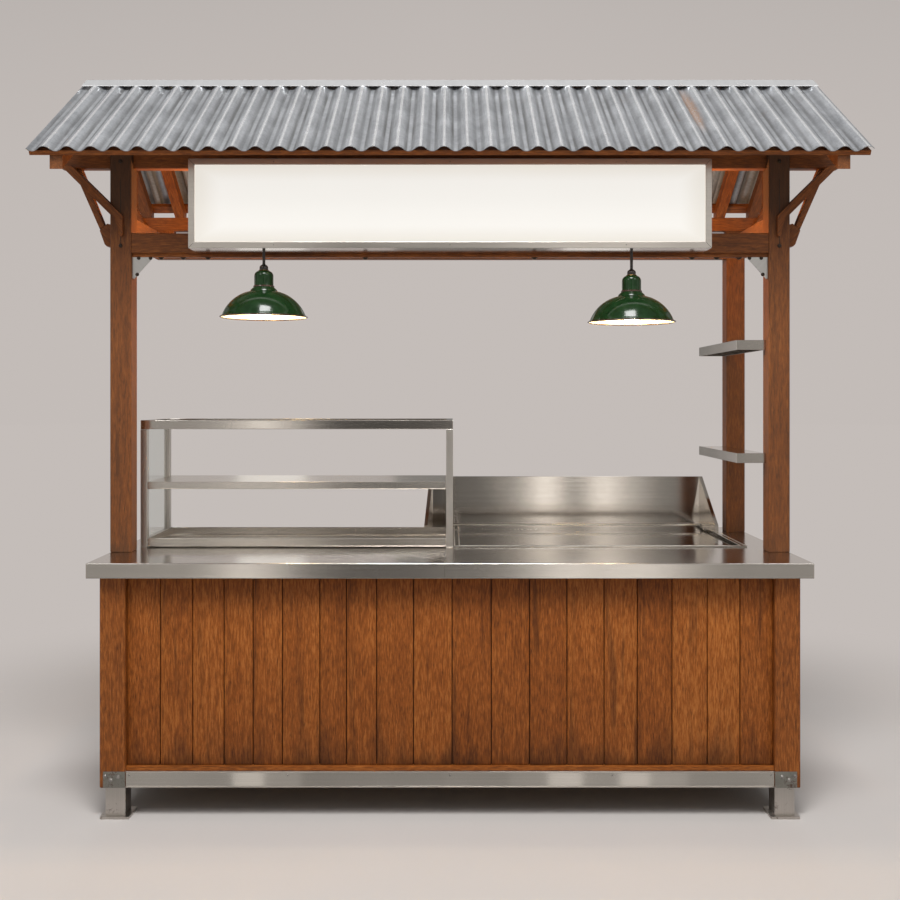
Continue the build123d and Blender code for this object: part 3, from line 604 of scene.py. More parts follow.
@dataclass(frozen=True)
class ClearGlass(Finish):
    """Clear sheet glass with faint smears."""

    name = "glass_clear"

    def paint(self, sheet: NodeSheet, shader: bpy.types.Node) -> None:
        """Feed the shader a clear body with a smeared surface.

        Args:
            sheet: The material's nodes.
            shader: Its Principled shader.
        """
        smear = sheet.noise(sheet.place(), 14.0, 4.0, 0.6)
        feeds = {
            "Base Color": sheet.mix(smear, (0.90, 0.95, 0.93, 1.0), (0.97, 0.99, 0.98, 1.0)),
            "Roughness": sheet.span(smear, 0.3, 0.7, 0.01, 0.05),
            "Transmission Weight": 1.0,
            "IOR": 1.45,
        }
        sheet.wire(shader, feeds)


STEEL = {run: BrushedSteel("stainless", run) for run in Run}
FOOT_STEEL = BrushedSteel("foot_steel", Run.UPRIGHT, (0.50, 0.465, 0.43, 1.0), 0.30, 0.02)
PLATE_STEEL = BrushedSteel("plate_steel", Run.UPRIGHT, (0.27, 0.262, 0.235, 1.0), 0.42, 0.075)
GUSSET_STEEL = BrushedSteel("gusset_steel", Run.BRACE, (0.54, 0.53, 0.515, 1.0), 0.34, -0.02)
LIP_STEEL = BrushedSteel("lip_steel", Run.ALONG, rough=0.3)
COUNTER_STEEL = BrushedSteel("counter_steel", Run.ALONG, rough=0.18)
# Darker than the rest of the stainless: painted shade and reflection in the cooking recess.
SHADED_RECESS_STEEL = BrushedSteel("recess_steel", Run.ALONG, (0.46, 0.425, 0.385, 1.0), 0.10)
SPLASH_STEEL = BrushedSteel("splash_steel", Run.ALONG, (0.54, 0.50, 0.455, 1.0), 0.10)
# Paler than the rest of the stainless: a painted highlight along the rolled beads.
BEAD_STEEL_HIGHLIGHT = BrushedSteel("bead_steel", Run.ALONG, (0.72, 0.68, 0.63, 1.0), 0.3)
RACK_STEEL = BrushedSteel("rack_steel", Run.UPRIGHT, (0.62, 0.585, 0.545, 1.0), 0.30)
TRAY_STEEL = BrushedSteel("tray_steel", Run.ALONG, (0.64, 0.60, 0.55, 1.0), 0.24)
BOLT_STEEL = Gloss("bolt_dark", (0.045, 0.033, 0.026, 1.0), 0.42, metallic=0.75)
SCREW_STEEL = Gloss("screw_bright", (0.36, 0.34, 0.32, 1.0), 0.34, metallic=0.9)
PLY = Gloss("plywood_bare", (0.30, 0.19, 0.095, 1.0), 0.62)
GREEN_ENAMEL = Gloss("enamel_green", (0.008, 0.030, 0.008, 1.0), 0.17, coat=0.14, shine=0.25)
# The shades' cream inside glows a little: painted light standing for the bulb's light on the enamel.
CREAM_ENAMEL_PAINTED_GLOW = Gloss(
    "enamel_cream", (0.80, 0.70, 0.48, 1.0), 0.22, coat=0.4, glow=(1.0, 0.84, 0.52, 1.0), glow_strength=0.55
)
RIM_BROWN = Gloss("rim_brown", (0.045, 0.018, 0.010, 1.0), 0.24, coat=0.5)
BAKELITE = Gloss("bakelite_dark", (0.020, 0.013, 0.010, 1.0), 0.30, coat=0.3)
BRASS = Gloss("brass_worn", (0.42, 0.26, 0.085, 1.0), 0.32, metallic=1.0)
BULB_GLOW = Gloss("bulb_lit", (0.9, 0.85, 0.75, 1.0), 0.2, glow=(1.0, 0.90, 0.72, 1.0), glow_strength=12.0)
# The second finish, dark bolt steel, is for the sheet behind the boards: painted shade in their gaps.
BOARD_FINISHES = (StainedTimber(Run.UPRIGHT, 0.0, 0.165, 0.13), BOLT_STEEL)


def box_shape(mesh: Shape, low: Triple, high: Triple, bevel: float = 0.0) -> list[bmesh.types.BMVert]:
    """Add a box between two corners, its edges bevelled.

    Args:
        mesh: The mesh to add to.
        low: The lowest corner.
        high: The highest corner.
        bevel: Width of the bevel, or 0 for sharp edges.

    Returns:
        The new vertices.
    """
    size = Vector(high) - Vector(low)
    middle = (Vector(high) + Vector(low)) / 2
    place = Matrix.Translation(middle) @ Matrix.Diagonal((*size, 1.0))
    verts = bmesh.ops.create_cube(mesh, size=1.0, matrix=place)["verts"]
    if bevel <= 0.0:
        return verts
    edges = list({edge for vert in verts for edge in vert.link_edges})
    form = {"offset_type": "OFFSET", "segments": 2, "profile": 0.5, "affect": "EDGES", "material": -1}
    cut = bmesh.ops.bevel(mesh, geom=edges, offset=bevel, **form)
    return list({vert for vert in verts if vert.is_valid} | set(cut["verts"]))


def seat_at(place: Triple, normal: Triple) -> Matrix:
    """Return the matrix that sets a shape down at a place, its +Z along a normal."""
    turn = Vector((0.0, 0.0, 1.0)).rotation_difference(Vector(normal))
    return Matrix.Translation(Vector(place)) @ turn.to_matrix().to_4x4()


def dome_bolt(mesh: Shape, place: Triple, normal: Triple, radius: float, rise: float) -> None:
    """Add a domed bolt head on a thin washer.

    Args:
        mesh: The mesh to add to.
        place: Middle of the head's seat.
        normal: Direction that the head points in.
        radius: Radius of the head.
        rise: Height of the dome.
    """
    seat = seat_at(place, normal)
    dome = bmesh.ops.create_uvsphere(mesh, u_segments=14, v_segments=8, radius=1.0)["verts"]
    bmesh.ops.delete(mesh, geom=[vert for vert in dome if vert.co.z < -0.01], context="VERTS")
    dome = [vert for vert in dome if vert.is_valid]
    rim = [edge for edge in {edge for vert in dome for edge in vert.link_edges} if edge.is_boundary]
    bmesh.ops.edgeloop_fill(mesh, edges=rim)
    lift = Matrix.Translation((0.0, 0.0, 0.0012))
    bmesh.ops.transform(mesh, verts=dome, matrix=seat @ lift @ Matrix.Diagonal((radius, radius, rise, 1.0)))
    washer = seat @ Matrix.Translation((0.0, 0.0, 0.0007))
    radii = {"radius1": radius * 1.35, "radius2": radius * 1.3}
    bmesh.ops.create_cone(mesh, cap_ends=True, segments=14, depth=0.0014, matrix=washer, **radii)


def flat_screw(mesh: Shape, place: Triple, normal: Triple, radius: float) -> None:
    """Add a low pan head screw.

    Args:
        mesh: The mesh to add to.
        place: Middle of the head's seat.
        normal: Direction that the head points in.
        radius: Radius of the head.
    """
    seat = seat_at(place, normal) @ Matrix.Translation((0.0, 0.0, radius * 0.2))
    form = {"radius1": radius, "radius2": radius * 0.72, "depth": radius * 0.5}
    bmesh.ops.create_cone(mesh, cap_ends=True, segments=12, matrix=seat, **form)


def mesh_object(mesh: Shape, name: str) -> bpy.types.Object:
    """Turn a bmesh into an object in the scene.

    Args:
        mesh: The shape, in metres, in place. It is freed.
        name: The object's name.

    Returns:
        The object.
    """
    data = bpy.data.meshes.new(name)
    mesh.to_mesh(data)
    mesh.free()
    piece = bpy.data.objects.new(name, data)
    bpy.context.scene.collection.objects.link(piece)
    return piece


def publish(mesh: Shape, name: str, finishes: Sequence[Finish], stands_for: str = "") -> None:
    """Turn a bmesh into a finished piece that rides on the body.

    Args:
        mesh: The shape, in metres, in place. It is freed.
        name: The piece's name.
        finishes: One finish for each material index in use.
        stands_for: The node that the piece replaces, if any.
    """
    bmesh.ops.recalc_face_normals(mesh, faces=mesh.faces[:])
    piece = mesh_object(mesh, name)
    for finish in finishes:
        piece.data.materials.append(finish.material())
    piece.data.shade_smooth()
    piece.data.set_sharp_from_angle(angle=SMOOTH_ANGLE)
    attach(piece, BODY)
    if stands_for:
        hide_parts(stands_for)
    LOG.info("%s: %d faces", name, len(piece.data.polygons))


def corners(node: str) -> tuple[Vector, Vector]:
    """Return the lowest and highest corner of a node."""
    low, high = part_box(node)
    return Vector(low), Vector(high)


@dataclass
class SubAssembly:
    """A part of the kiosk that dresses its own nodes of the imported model."""

    nodes: dict

    def dress(self, finish: Finish, round_edges: float, *names: str) -> None:
        """Give nodes a finish, and their sharp edges a small radius.

        Args:
            finish: The finish for all of each node.
            round_edges: Radius for its sharp edges, or 0 to leave them.
            *names: The nodes.
        """
        material = finish.material()
        for name in names:
            node = self.nodes[name]
            if not node.material_slots:
                node.data.materials.append(material)
            for holder in node.material_slots:
                holder.material = material
            if round_edges > 0.0:
                node.modifiers.new("weld", "WELD").merge_threshold = 0.00002
                bevel = node.modifiers.new("edge_radius", "BEVEL")
                bevel.limit_method = "ANGLE"
                bevel.angle_limit = math.radians(40)
                bevel.width = round_edges
                bevel.segments = 2
                bevel.use_clamp_overlap = True
                bevel.harden_normals = False
            LOG.info("%s dressed", name)


@dataclass
class Base(SubAssembly):
    """The boarded base: boards, corner plates, kick rails, sill strips and feet."""

    front_widths: tuple[float, ...] = (
        0.112, 0.108, 0.105, 0.097, 0.098, 0.125, 0.089, 0.101, 0.123, 0.129,
        0.131, 0.128, 0.125, 0.124, 0.111, 0.116, 0.118, 0.109, 0.111,
    )
    end_count: int = 7
    gap: float = 0.0024
    arris: float = 0.0026
    # Thickness of the dark sheet behind the boards, which paints the shade in their gaps.
    shade_backing: float = 0.004
    corner_post: float = 0.085
    plate_width: float = 0.073
    plate_height: float = 0.055
    plate_sheet: float = 0.0015
    bolt_places: tuple[Pair, ...] = ((0.066, 0.040), (0.047, 0.028), (0.023, 0.038))
    screw_drop: float = 0.014
    screw_places: tuple[float, ...] = (-1.068, -0.54, 0.0, 0.54, 1.068)
    lip_height: float = 0.005

    def build(self) -> None:
        """Build the boards and fittings, and dress the base's nodes."""
        self._boards("front", self.front_widths, -1, 11)
        self._boards("rear", self.front_widths[::-1], 1, 23)
        self._end_boards()
        self._corner_plates()
        self._kick_fittings()
        self.dress(StainedTimber(Run.UPRIGHT, -0.06, 0.10, 0.10, age=0.12), 0.003, "corner_posts")
        self.dress(StainedTimber(Run.ALONG, 0.10), 0.001, "sill_strips")
        self.dress(STEEL[Run.ALONG], 0.001, "kick_rails")
        self.dress(FOOT_STEEL, 0.003, "feet")
        self.dress(PLY, 0.0, "base_floor")

    def _board_row(
        self, mesh: Shape, low: Vector, high: Vector, axis: int, widths: Sequence[float], out: int, seed: int
    ) -> None:
        """Add one row of upright boards, and behind it a dark sheet that paints the shade seen through the
        gaps between boards.

        Args:
            mesh: The mesh to add to.
            low: The row's lowest corner.
            high: The row's highest corner.
            axis: 0 for a row along X, 1 for a row along Y.
            widths: Board widths in order, in metres.
            out: 1 or -1, the side of the other level axis that the face looks to.
            seed: Seed for the boards' tones.
        """
        tone = mesh.verts.layers.float.get(BOARD_ATTRIBUTE) or mesh.verts.layers.float.new(BOARD_ATTRIBUTE)
        chance = random.Random(seed)
        across = 1 - axis
        face, back = (high[across], low[across]) if out > 0 else (low[across], high[across])
        inner = back + out * self.shade_backing
        start = low[axis]
        for width in widths:
            first, second = Vector(low), Vector(high)
            first[axis], second[axis] = start + self.gap / 2, start + width - self.gap / 2
            first[across], second[across] = min(face, inner), max(face, inner)
            value = chance.uniform(-0.42, 0.42)
            for vert in box_shape(mesh, tuple(first), tuple(second), self.arris):
                vert[tone] = value
            start += width
        # The dark sheet behind the boards is painted shade that shows through the gaps.
        first, second = Vector(low), Vector(high)
        first[across], second[across] = min(back, inner), max(back, inner)
        for vert in box_shape(mesh, tuple(first), tuple(second)):
            for side_face in vert.link_faces:
                side_face.material_index = 1

    def _boards(self, side: str, widths: Sequence[float], out: int, seed: int) -> None:
        """Publish the front or rear row of boards in place of its node.

        Args:
            side: Front or rear.
            widths: Board widths in order, in metres.
            out: 1 or -1, the side of Y that the face looks to.
            seed: Seed for the boards' tones.
        """
        low, high = corners("boarding_" + side)
        mesh = bmesh.new()
        self._board_row(mesh, low, high, 0, widths, out, seed)
        publish(mesh, "boards_" + side, BOARD_FINISHES, "boarding_" + side)

    def _end_boards(self) -> None:
        """Publish the rows of boards at both ends in place of their node."""
        low, high = corners("boarding_ends")
        front_low, front_high = corners("boarding_front")
        depth = front_high.y - front_low.y
        width = (high.y - low.y) / self.end_count
        mesh = bmesh.new()
        for side in (-1, 1):
            first, second = Vector(low), Vector(high)
            if side < 0:
                second.x = low.x + depth
            else:
                first.x = high.x - depth
            self._board_row(mesh, first, second, 1, (width,) * self.end_count, side, 40 + side)
        publish(mesh, "boards_ends", BOARD_FINISHES, "boarding_ends")

    def _corner_plates(self) -> None:
        """Publish the thin plates round the feet of the corner posts, and their bolts."""
        low, high = corners("corner_posts")
        plates, bolts = bmesh.new(), bmesh.new()
        sheet = self.plate_sheet
        top = low.z + self.plate_height
        for side in (-1, 1):
            inner_x = side * (high.x - self.corner_post)
            for out, face_y in ((-1, low.y), (1, high.y)):
                ends = sorted((inner_x, inner_x + side * self.plate_width))
                ys = sorted((face_y + out * sheet, face_y - out * 0.002))
                box_shape(plates, (ends[0], ys[0], low.z + 0.001), (ends[1], ys[1], top), 0.0005)
                for reach, rise in self.bolt_places:
                    place = (inner_x + side * reach, face_y + out * sheet, low.z + rise)
                    dome_bolt(bolts, place, (0.0, float(out), 0.0), 0.0055, 0.0035)
        publish(plates, "corner_plates", (PLATE_STEEL,))
        publish(bolts, "corner_bolts", (SCREW_STEEL,))

    def _kick_fittings(self) -> None:
        """Publish the kick rails' screws, and the rolled lips along their tops and feet."""
        low, high = corners("kick_rails")
        screws, lips = bmesh.new(), bmesh.new()
        for out, face_y in ((-1, low.y), (1, high.y)):
            for place_x in self.screw_places:
                place = (place_x, face_y, high.z - self.screw_drop)
                flat_screw(screws, place, (0.0, float(out), 0.0), 0.0035)
            ys = sorted((face_y + out * 0.0018, face_y - out * 0.001))
            for level in (low.z + 0.0005, high.z - self.lip_height - 0.0005):
                top = level + self.lip_height
                box_shape(lips, (low.x + 0.002, ys[0], level), (high.x - 0.002, ys[1], top), 0.0012)
        publish(screws, "kick_screws", (SCREW_STEEL,))
        publish(lips, "kick_lips", (LIP_STEEL,))


@dataclass
class Frame(SubAssembly):
    """Posts, beams, braces and gussets, with their bolts and pegs."""

    post_middle: float = 1.1625
    head_bolt_levels: tuple[float, ...] = (2.232, 2.292)
    under_bolts: tuple[float, ...] = (1.025, 0.947, 0.859, 0.30)
    gusset_bolts: tuple[Pair, ...] = ((1.102, 1.892), (1.060, 1.892), (1.107, 1.834))
    strip_drop: float = 0.013
    peg_level: float = 1.934
    shadow_line_top: float = 2.17
    shadow_line_width: float = 0.0024

    def build(self) -> None:
        """Dress the frame's nodes and add its small fittings."""
        # The posts darken above 1.95 m: painted shade under the roof.
        posts = StainedTimber(Run.UPRIGHT, -0.28, 0.85, 0.10, 0.45, 0.48, 1.95)
        braces = StainedTimber(Run.BRACE, -0.28, age=0.34)
        self.dress(posts, 0.0025, "front_posts", "post_rear_right")
        self.dress(StainedTimber(Run.ALONG, -0.35, age=0.30), 0.002, "front_head_plate")
        self.dress(StainedTimber(Run.ALONG, -0.30, age=0.36), 0.0025, "front_lower_beam", "rear_beams")
        self.dress(braces, 0.002, "front_braces", "front_struts", "rear_braces")
        self.dress(StainedTimber(Run.ACROSS, -0.40, age=0.55), 0.003, "side_rails")
        self.dress(StainedTimber(Run.UPRIGHT, -0.15, age=0.2), 0.0, "rear_end_struts")
        self.dress(GUSSET_STEEL, 0.0008, "gusset_plates")
        self._under_strip()
        self._bolts()
        self._pegs()

    def _under_strip(self) -> None:
        """Publish the fixing strip let in below the front lower beam."""
        low, high = corners("front_lower_beam")
        first = (low.x, low.y + 0.010, low.z - self.strip_drop)
        mesh = bmesh.new()
        box_shape(mesh, first, (high.x, high.y - 0.005, low.z + 0.001), 0.0015)
        publish(mesh, "beam_strip", (StainedTimber(Run.ALONG, -0.06, age=0.2),))

    def _bolts(self) -> None:
        """Publish the bolts of the posts, beam and gussets."""
        mesh = bmesh.new()
        post_y = corners("front_posts")[0].y
        gusset_y = corners("gusset_plates")[0].y
        low, high = corners("front_lower_beam")
        middle_y, under = (low.y + high.y) / 2, low.z - self.strip_drop
        for side in (-1.0, 1.0):
            for level in self.head_bolt_levels:
                dome_bolt(mesh, (side * self.post_middle, post_y, level), FRONT, 0.0055, 0.003)
            for reach in self.under_bolts:
                dome_bolt(mesh, (side * reach, middle_y, under), DOWN, 0.0085, 0.006)
            for reach, level in self.gusset_bolts:
                dome_bolt(mesh, (side * reach, gusset_y, level), FRONT, 0.005, 0.003)
        publish(mesh, "frame_bolts", (BOLT_STEEL,))

    def _pegs(self) -> None:
        """Publish the peg ends, and the dark lines down the front posts along the lapped braces' edges:
        joint line and painted shadow.
        """
        post_y = corners("front_posts")[0].y
        half = self.shadow_line_width / 2
        mesh = bmesh.new()
        for side in (-1.0, 1.0):
            middle = side * self.post_middle
            flat_screw(mesh, (middle, post_y, self.peg_level), FRONT, 0.0075)
            # Dark line down the post: the lap joint, with a painted shadow of the brace's edge.
            first = (middle - half, post_y - 0.0004, self.peg_level)
            box_shape(mesh, first, (middle + half, post_y + 0.002, self.shadow_line_top))
        publish(mesh, "post_pegs", (BOLT_STEEL,))


@dataclass
class Counter(SubAssembly):
    """Stainless counter top with its core board, cooking recess and splash guard."""

    joint: Pair = (-0.018, -0.0172)
    bead: float = 0.005
    rim: float = 0.020
    ledge_depth: float = 0.025
    ledge_rise: float = 0.012
    wing: float = 0.036

    def build(self) -> None:
        """Dress the counter's nodes, and add its joint and beads."""
        self.dress(COUNTER_STEEL, 0.003, "counter_top")
        self.dress(PLY, 0.0, "counter_board")
        self.dress(SHADED_RECESS_STEEL, 0.001, "cooking_recess")
        self.dress(SPLASH_STEEL, 0.0012, "splash_guard")
        self._joint()
        self._recess_beads()

    def _recess_beads(self) -> None:
        """Publish the rolled beads round the cooking recess and along its ledge, in a paler steel that
        paints their highlight.
        """
        low, high = corners("cooking_recess")
        top, bead, rim = high.z, self.bead, self.rim
        inner_y = low.y + rim
        ledge_y, ledge_z = high.y - self.ledge_depth, top + self.ledge_rise
        left, right = low.x + rim, high.x - rim
        boxes = [
            ((low.x, low.y + 0.001, top - bead), (high.x, low.y + bead, top + 0.0012), 0.0018),
            ((left, inner_y - bead, top - 0.001), (right, inner_y, top + 0.0008), 0.0008),
        ]
        for edge in (low.x, high.x - bead):
            boxes.append(((edge, low.y, top - 0.001), (edge + bead, ledge_y, top + 0.0016), 0.0012))
        for edge in (left - bead / 2, right - bead / 2):
            boxes.append(((edge, inner_y, top - 0.001), (edge + bead, ledge_y, top + 0.0014), 0.001))
        back = (high.x - self.wing, ledge_y + bead, ledge_z + 0.001)
        boxes.append(((low.x, ledge_y - 0.001, ledge_z - bead), back, 0.0018))
        mesh = bmesh.new()
        for first, second, bevel in boxes:
            box_shape(mesh, first, second, bevel)
        publish(mesh, "recess_beads", (BEAD_STEEL_HIGHLIGHT,))

    def _joint(self) -> None:
        """Publish the welded joint line across the middle of the counter's front edge."""
        low, high = corners("counter_top")
        mesh = bmesh.new()
        first = (self.joint[0], low.y - 0.0003, low.z + 0.002)
        box_shape(mesh, first, (self.joint[1], low.y + 0.002, high.z - 0.003))
        publish(mesh, "counter_joint", (BOLT_STEEL,))


@dataclass
class Rack(SubAssembly):
    """Display rack and the two end shelves."""

    def build(self) -> None:
        """Dress the nodes of the rack and the shelves."""
        self.dress(RACK_STEEL, 0.0035, "rack_uprights")
        self.dress(STEEL[Run.ALONG], 0.002, "rack_top_frame")
        self.dress(TRAY_STEEL, 0.002, "rack_shelf", "rack_tray")
        self.dress(ClearGlass(), 0.0, "rack_end_glass")
        self.dress(STEEL[Run.ACROSS], 0.001, "end_shelves")


@dataclass
class Roof(SubAssembly):
    """Rafters, battens, corrugated sheets and ridge cap."""

    pitch: float = math.radians(33)
    wave_depth: float = 0.017
    eave: float = 0.585
    cap_drop: float = 0.05

    def build(self) -> None:
        """Dress the roof's nodes."""
        foot = corners("roof_sheet_front")[0].z
        valley = (foot + self.eave * math.tan(self.pitch)) * math.cos(self.pitch)
        sheets = WeatheredZinc("zinc_weathered", valley, self.wave_depth, self.pitch)
        cap = WeatheredZinc("zinc_cap", valley - self.cap_drop, self.wave_depth, self.pitch)
        self.dress(sheets, 0.0, "roof_sheet_front", "roof_sheet_rear")
        self.dress(cap, 0.0, "ridge_cap")
        self.dress(StainedTimber(Run.SLOPE, -0.35, age=0.45), 0.0, "gable_rafters")
        self.dress(StainedTimber(Run.SLOPE, -0.05), 0.0, "inner_rafters")
        self.dress(StainedTimber(Run.ALONG, -0.15, age=0.15), 0.0, "roof_battens")
        self.dress(StainedTimber(Run.ALONG, -0.05), 0.0, "ridge_board")


@dataclass
class Sign(SubAssembly):
    """The lit sign box with its mitred frame."""

    screw_places: tuple[float, ...] = (-0.6, 0.0, 0.6)
    screw_inset: float = 0.011

    def build(self) -> None:
        """Dress the sign's nodes and add the screws of its frame."""
        low, high = corners("sign_frame")
        middle, half = (low.z + high.z) / 2, (high.z - low.z) / 2
        face_low, face_high = corners("sign_face")
        frame = BrushedSteel("sign_frame_steel", Run.ALONG, rough=0.3, mitre=(high.x, middle, half))
        self.dress(STEEL[Run.UPRIGHT], 0.001, "sign_case")
        self.dress(frame, 0.0008, "sign_frame")
        self.dress(Opal(face_high.x, middle, (face_high.z - face_low.z) / 2), 0.0, "sign_face")
        mesh = bmesh.new()
        for place_x in self.screw_places:
            for level in (low.z + self.screw_inset, high.z - self.screw_inset):
                flat_screw(mesh, (place_x, low.y, level), FRONT, 0.0028)
        publish(mesh, "sign_screws", (SCREW_STEEL,))


@dataclass
class PendantLamp(SubAssembly):
    """One pendant lamp: enamelled shade with a rolled rim, collar, holder and lit bulb."""

    name: str
    wall: float = 0.0016
    segments: int = 96
    bead: float = 0.0026

    def build(self) -> None:
        """Build the shade and dress the lamp's nodes."""
        low, high = corners(self.name + "_shade")
        middle = (low + high) / 2
        self.place = Matrix.Translation((middle.x, middle.y, low.z))
        self._shade()
        self._trim()
        self.dress(BAKELITE, 0.0, self.name + "_holder")
        self.dress(BULB_GLOW, 0.0, self.name + "_bulb")

    def _outline(self, inset: float) -> list[Pair]:
        """Draw the shade's half section from rim to crown.

        Args:
            inset: How far it is drawn in from the outside.

        Returns:
            Radius and level of each point.
        """
        points = [(0.1500, 0.0012), (0.1492, 0.0040), (0.1430, 0.0100)]
        points += arc_points((0.1430, 0.0100), (0.1130, 0.0560), (0.0470, 0.0920), 14)
        points += [(0.0452, 0.0968), (0.0345, 0.1066), (0.0330, 0.1110), (0.0330, 0.1450)]
        points += arc_points((0.0330, 0.1450), (0.0270, 0.1580), (0.0155, 0.1630), 7)
        return [(radius - inset * 0.75, level - inset * 0.7) for radius, level in points]

    def _shade(self) -> None:
        """Publish the shade, enamelled green outside and cream inside, the cream with a painted glow."""
        mesh = bmesh.new()
        outer, inner = self._outline(0.0), self._outline(self.wall)
        self._spin(mesh, outer, 0)
        self._spin(mesh, inner, 1)
        self._spin(mesh, [outer[0], inner[0]], 0)
        self._spin(mesh, [outer[-1], inner[-1]], 0)
        bmesh.ops.remove_doubles(mesh, verts=mesh.verts[:], dist=0.00001)
        finishes = (GREEN_ENAMEL, CREAM_ENAMEL_PAINTED_GLOW)
        publish(mesh, self.name + "_enamel", finishes, self.name + "_shade")

    def _spin(self, mesh: Shape, outline: Sequence[Pair], index: int) -> None:
        """Spin a half section round the lamp's axis.

        Args:
            mesh: The mesh to add to.
            outline: Radius and level of each point.
            index: Material index of the new faces.
        """
        known = set(mesh.faces)
        verts = [mesh.verts.new(self.place @ Vector((radius, 0.0, level))) for radius, level in outline]
        edges = [mesh.edges.new(pair) for pair in zip(verts, verts[1:])]
        turn = {"cent": self.place.translation, "axis": (0.0, 0.0, 1.0), "angle": math.tau}
        bmesh.ops.spin(mesh, geom=verts + edges, steps=self.segments, use_merge=True, **turn)
        for face in set(mesh.faces) - known:
            face.material_index = index

    def _ring(self, mesh: Shape, radius: float, level: float, width: float, height: float) -> None:
        """Add a ring of oval section round the lamp's axis.

        Args:
            mesh: The mesh to add to.
            radius: Radius of the ring's middle line.
            level: Height of that line above the rim.
            width: Half of the section's width.
            height: Half of the section's height.
        """
        turns = [math.tau * step / 10 for step in range(11)]
        outline = [(radius + width * math.cos(turn), level + height * math.sin(turn)) for turn in turns]
        self._spin(mesh, outline, 0)
        bmesh.ops.remove_doubles(mesh, verts=mesh.verts[:], dist=0.00001)

    def _trim(self) -> None:
        """Publish the rolled rim, the dark collar and the brass ring."""
        rim, brass = bmesh.new(), bmesh.new()
        self._ring(rim, 0.1490, self.bead, self.bead, self.bead)
        self._ring(rim, 0.0335, 0.1085, 0.0030, 0.0034)
        publish(rim, self.name + "_rim", (RIM_BROWN,))
        self._ring(brass, 0.0158, 0.1640, 0.0030, 0.0016)
        publish(brass, self.name + "_ring", (BRASS,))


def arc_points(first: Pair, through: Pair, last: Pair, steps: int) -> list[Pair]:
    """Return points along the arc through three points, without the first.

    Args:
        first: The arc's start.
        through: A point on the arc.
        last: The arc's end.
        steps: Number of points to return.

    Returns:
        The points, the last of them the arc's end.
    """
    start, middle, end = (Vector((*point, 0.0)) for point in (first, through, last))
    one, two = middle - start, end - start
    normal = one.cross(two)
    lean = one.length_squared * two.cross(normal) + two.length_squared * normal.cross(one)
    centre = start + lean / (2 * normal.length_squared)
    arm = start - centre
    sweep = arm.angle(end - centre)
    axis = normal.normalized()
    points = []
    for step in range(1, steps + 1):
        place = centre + Matrix.Rotation(sweep * step / steps, 3, axis) @ arm
        points.append((place.x, place.y))
    return points


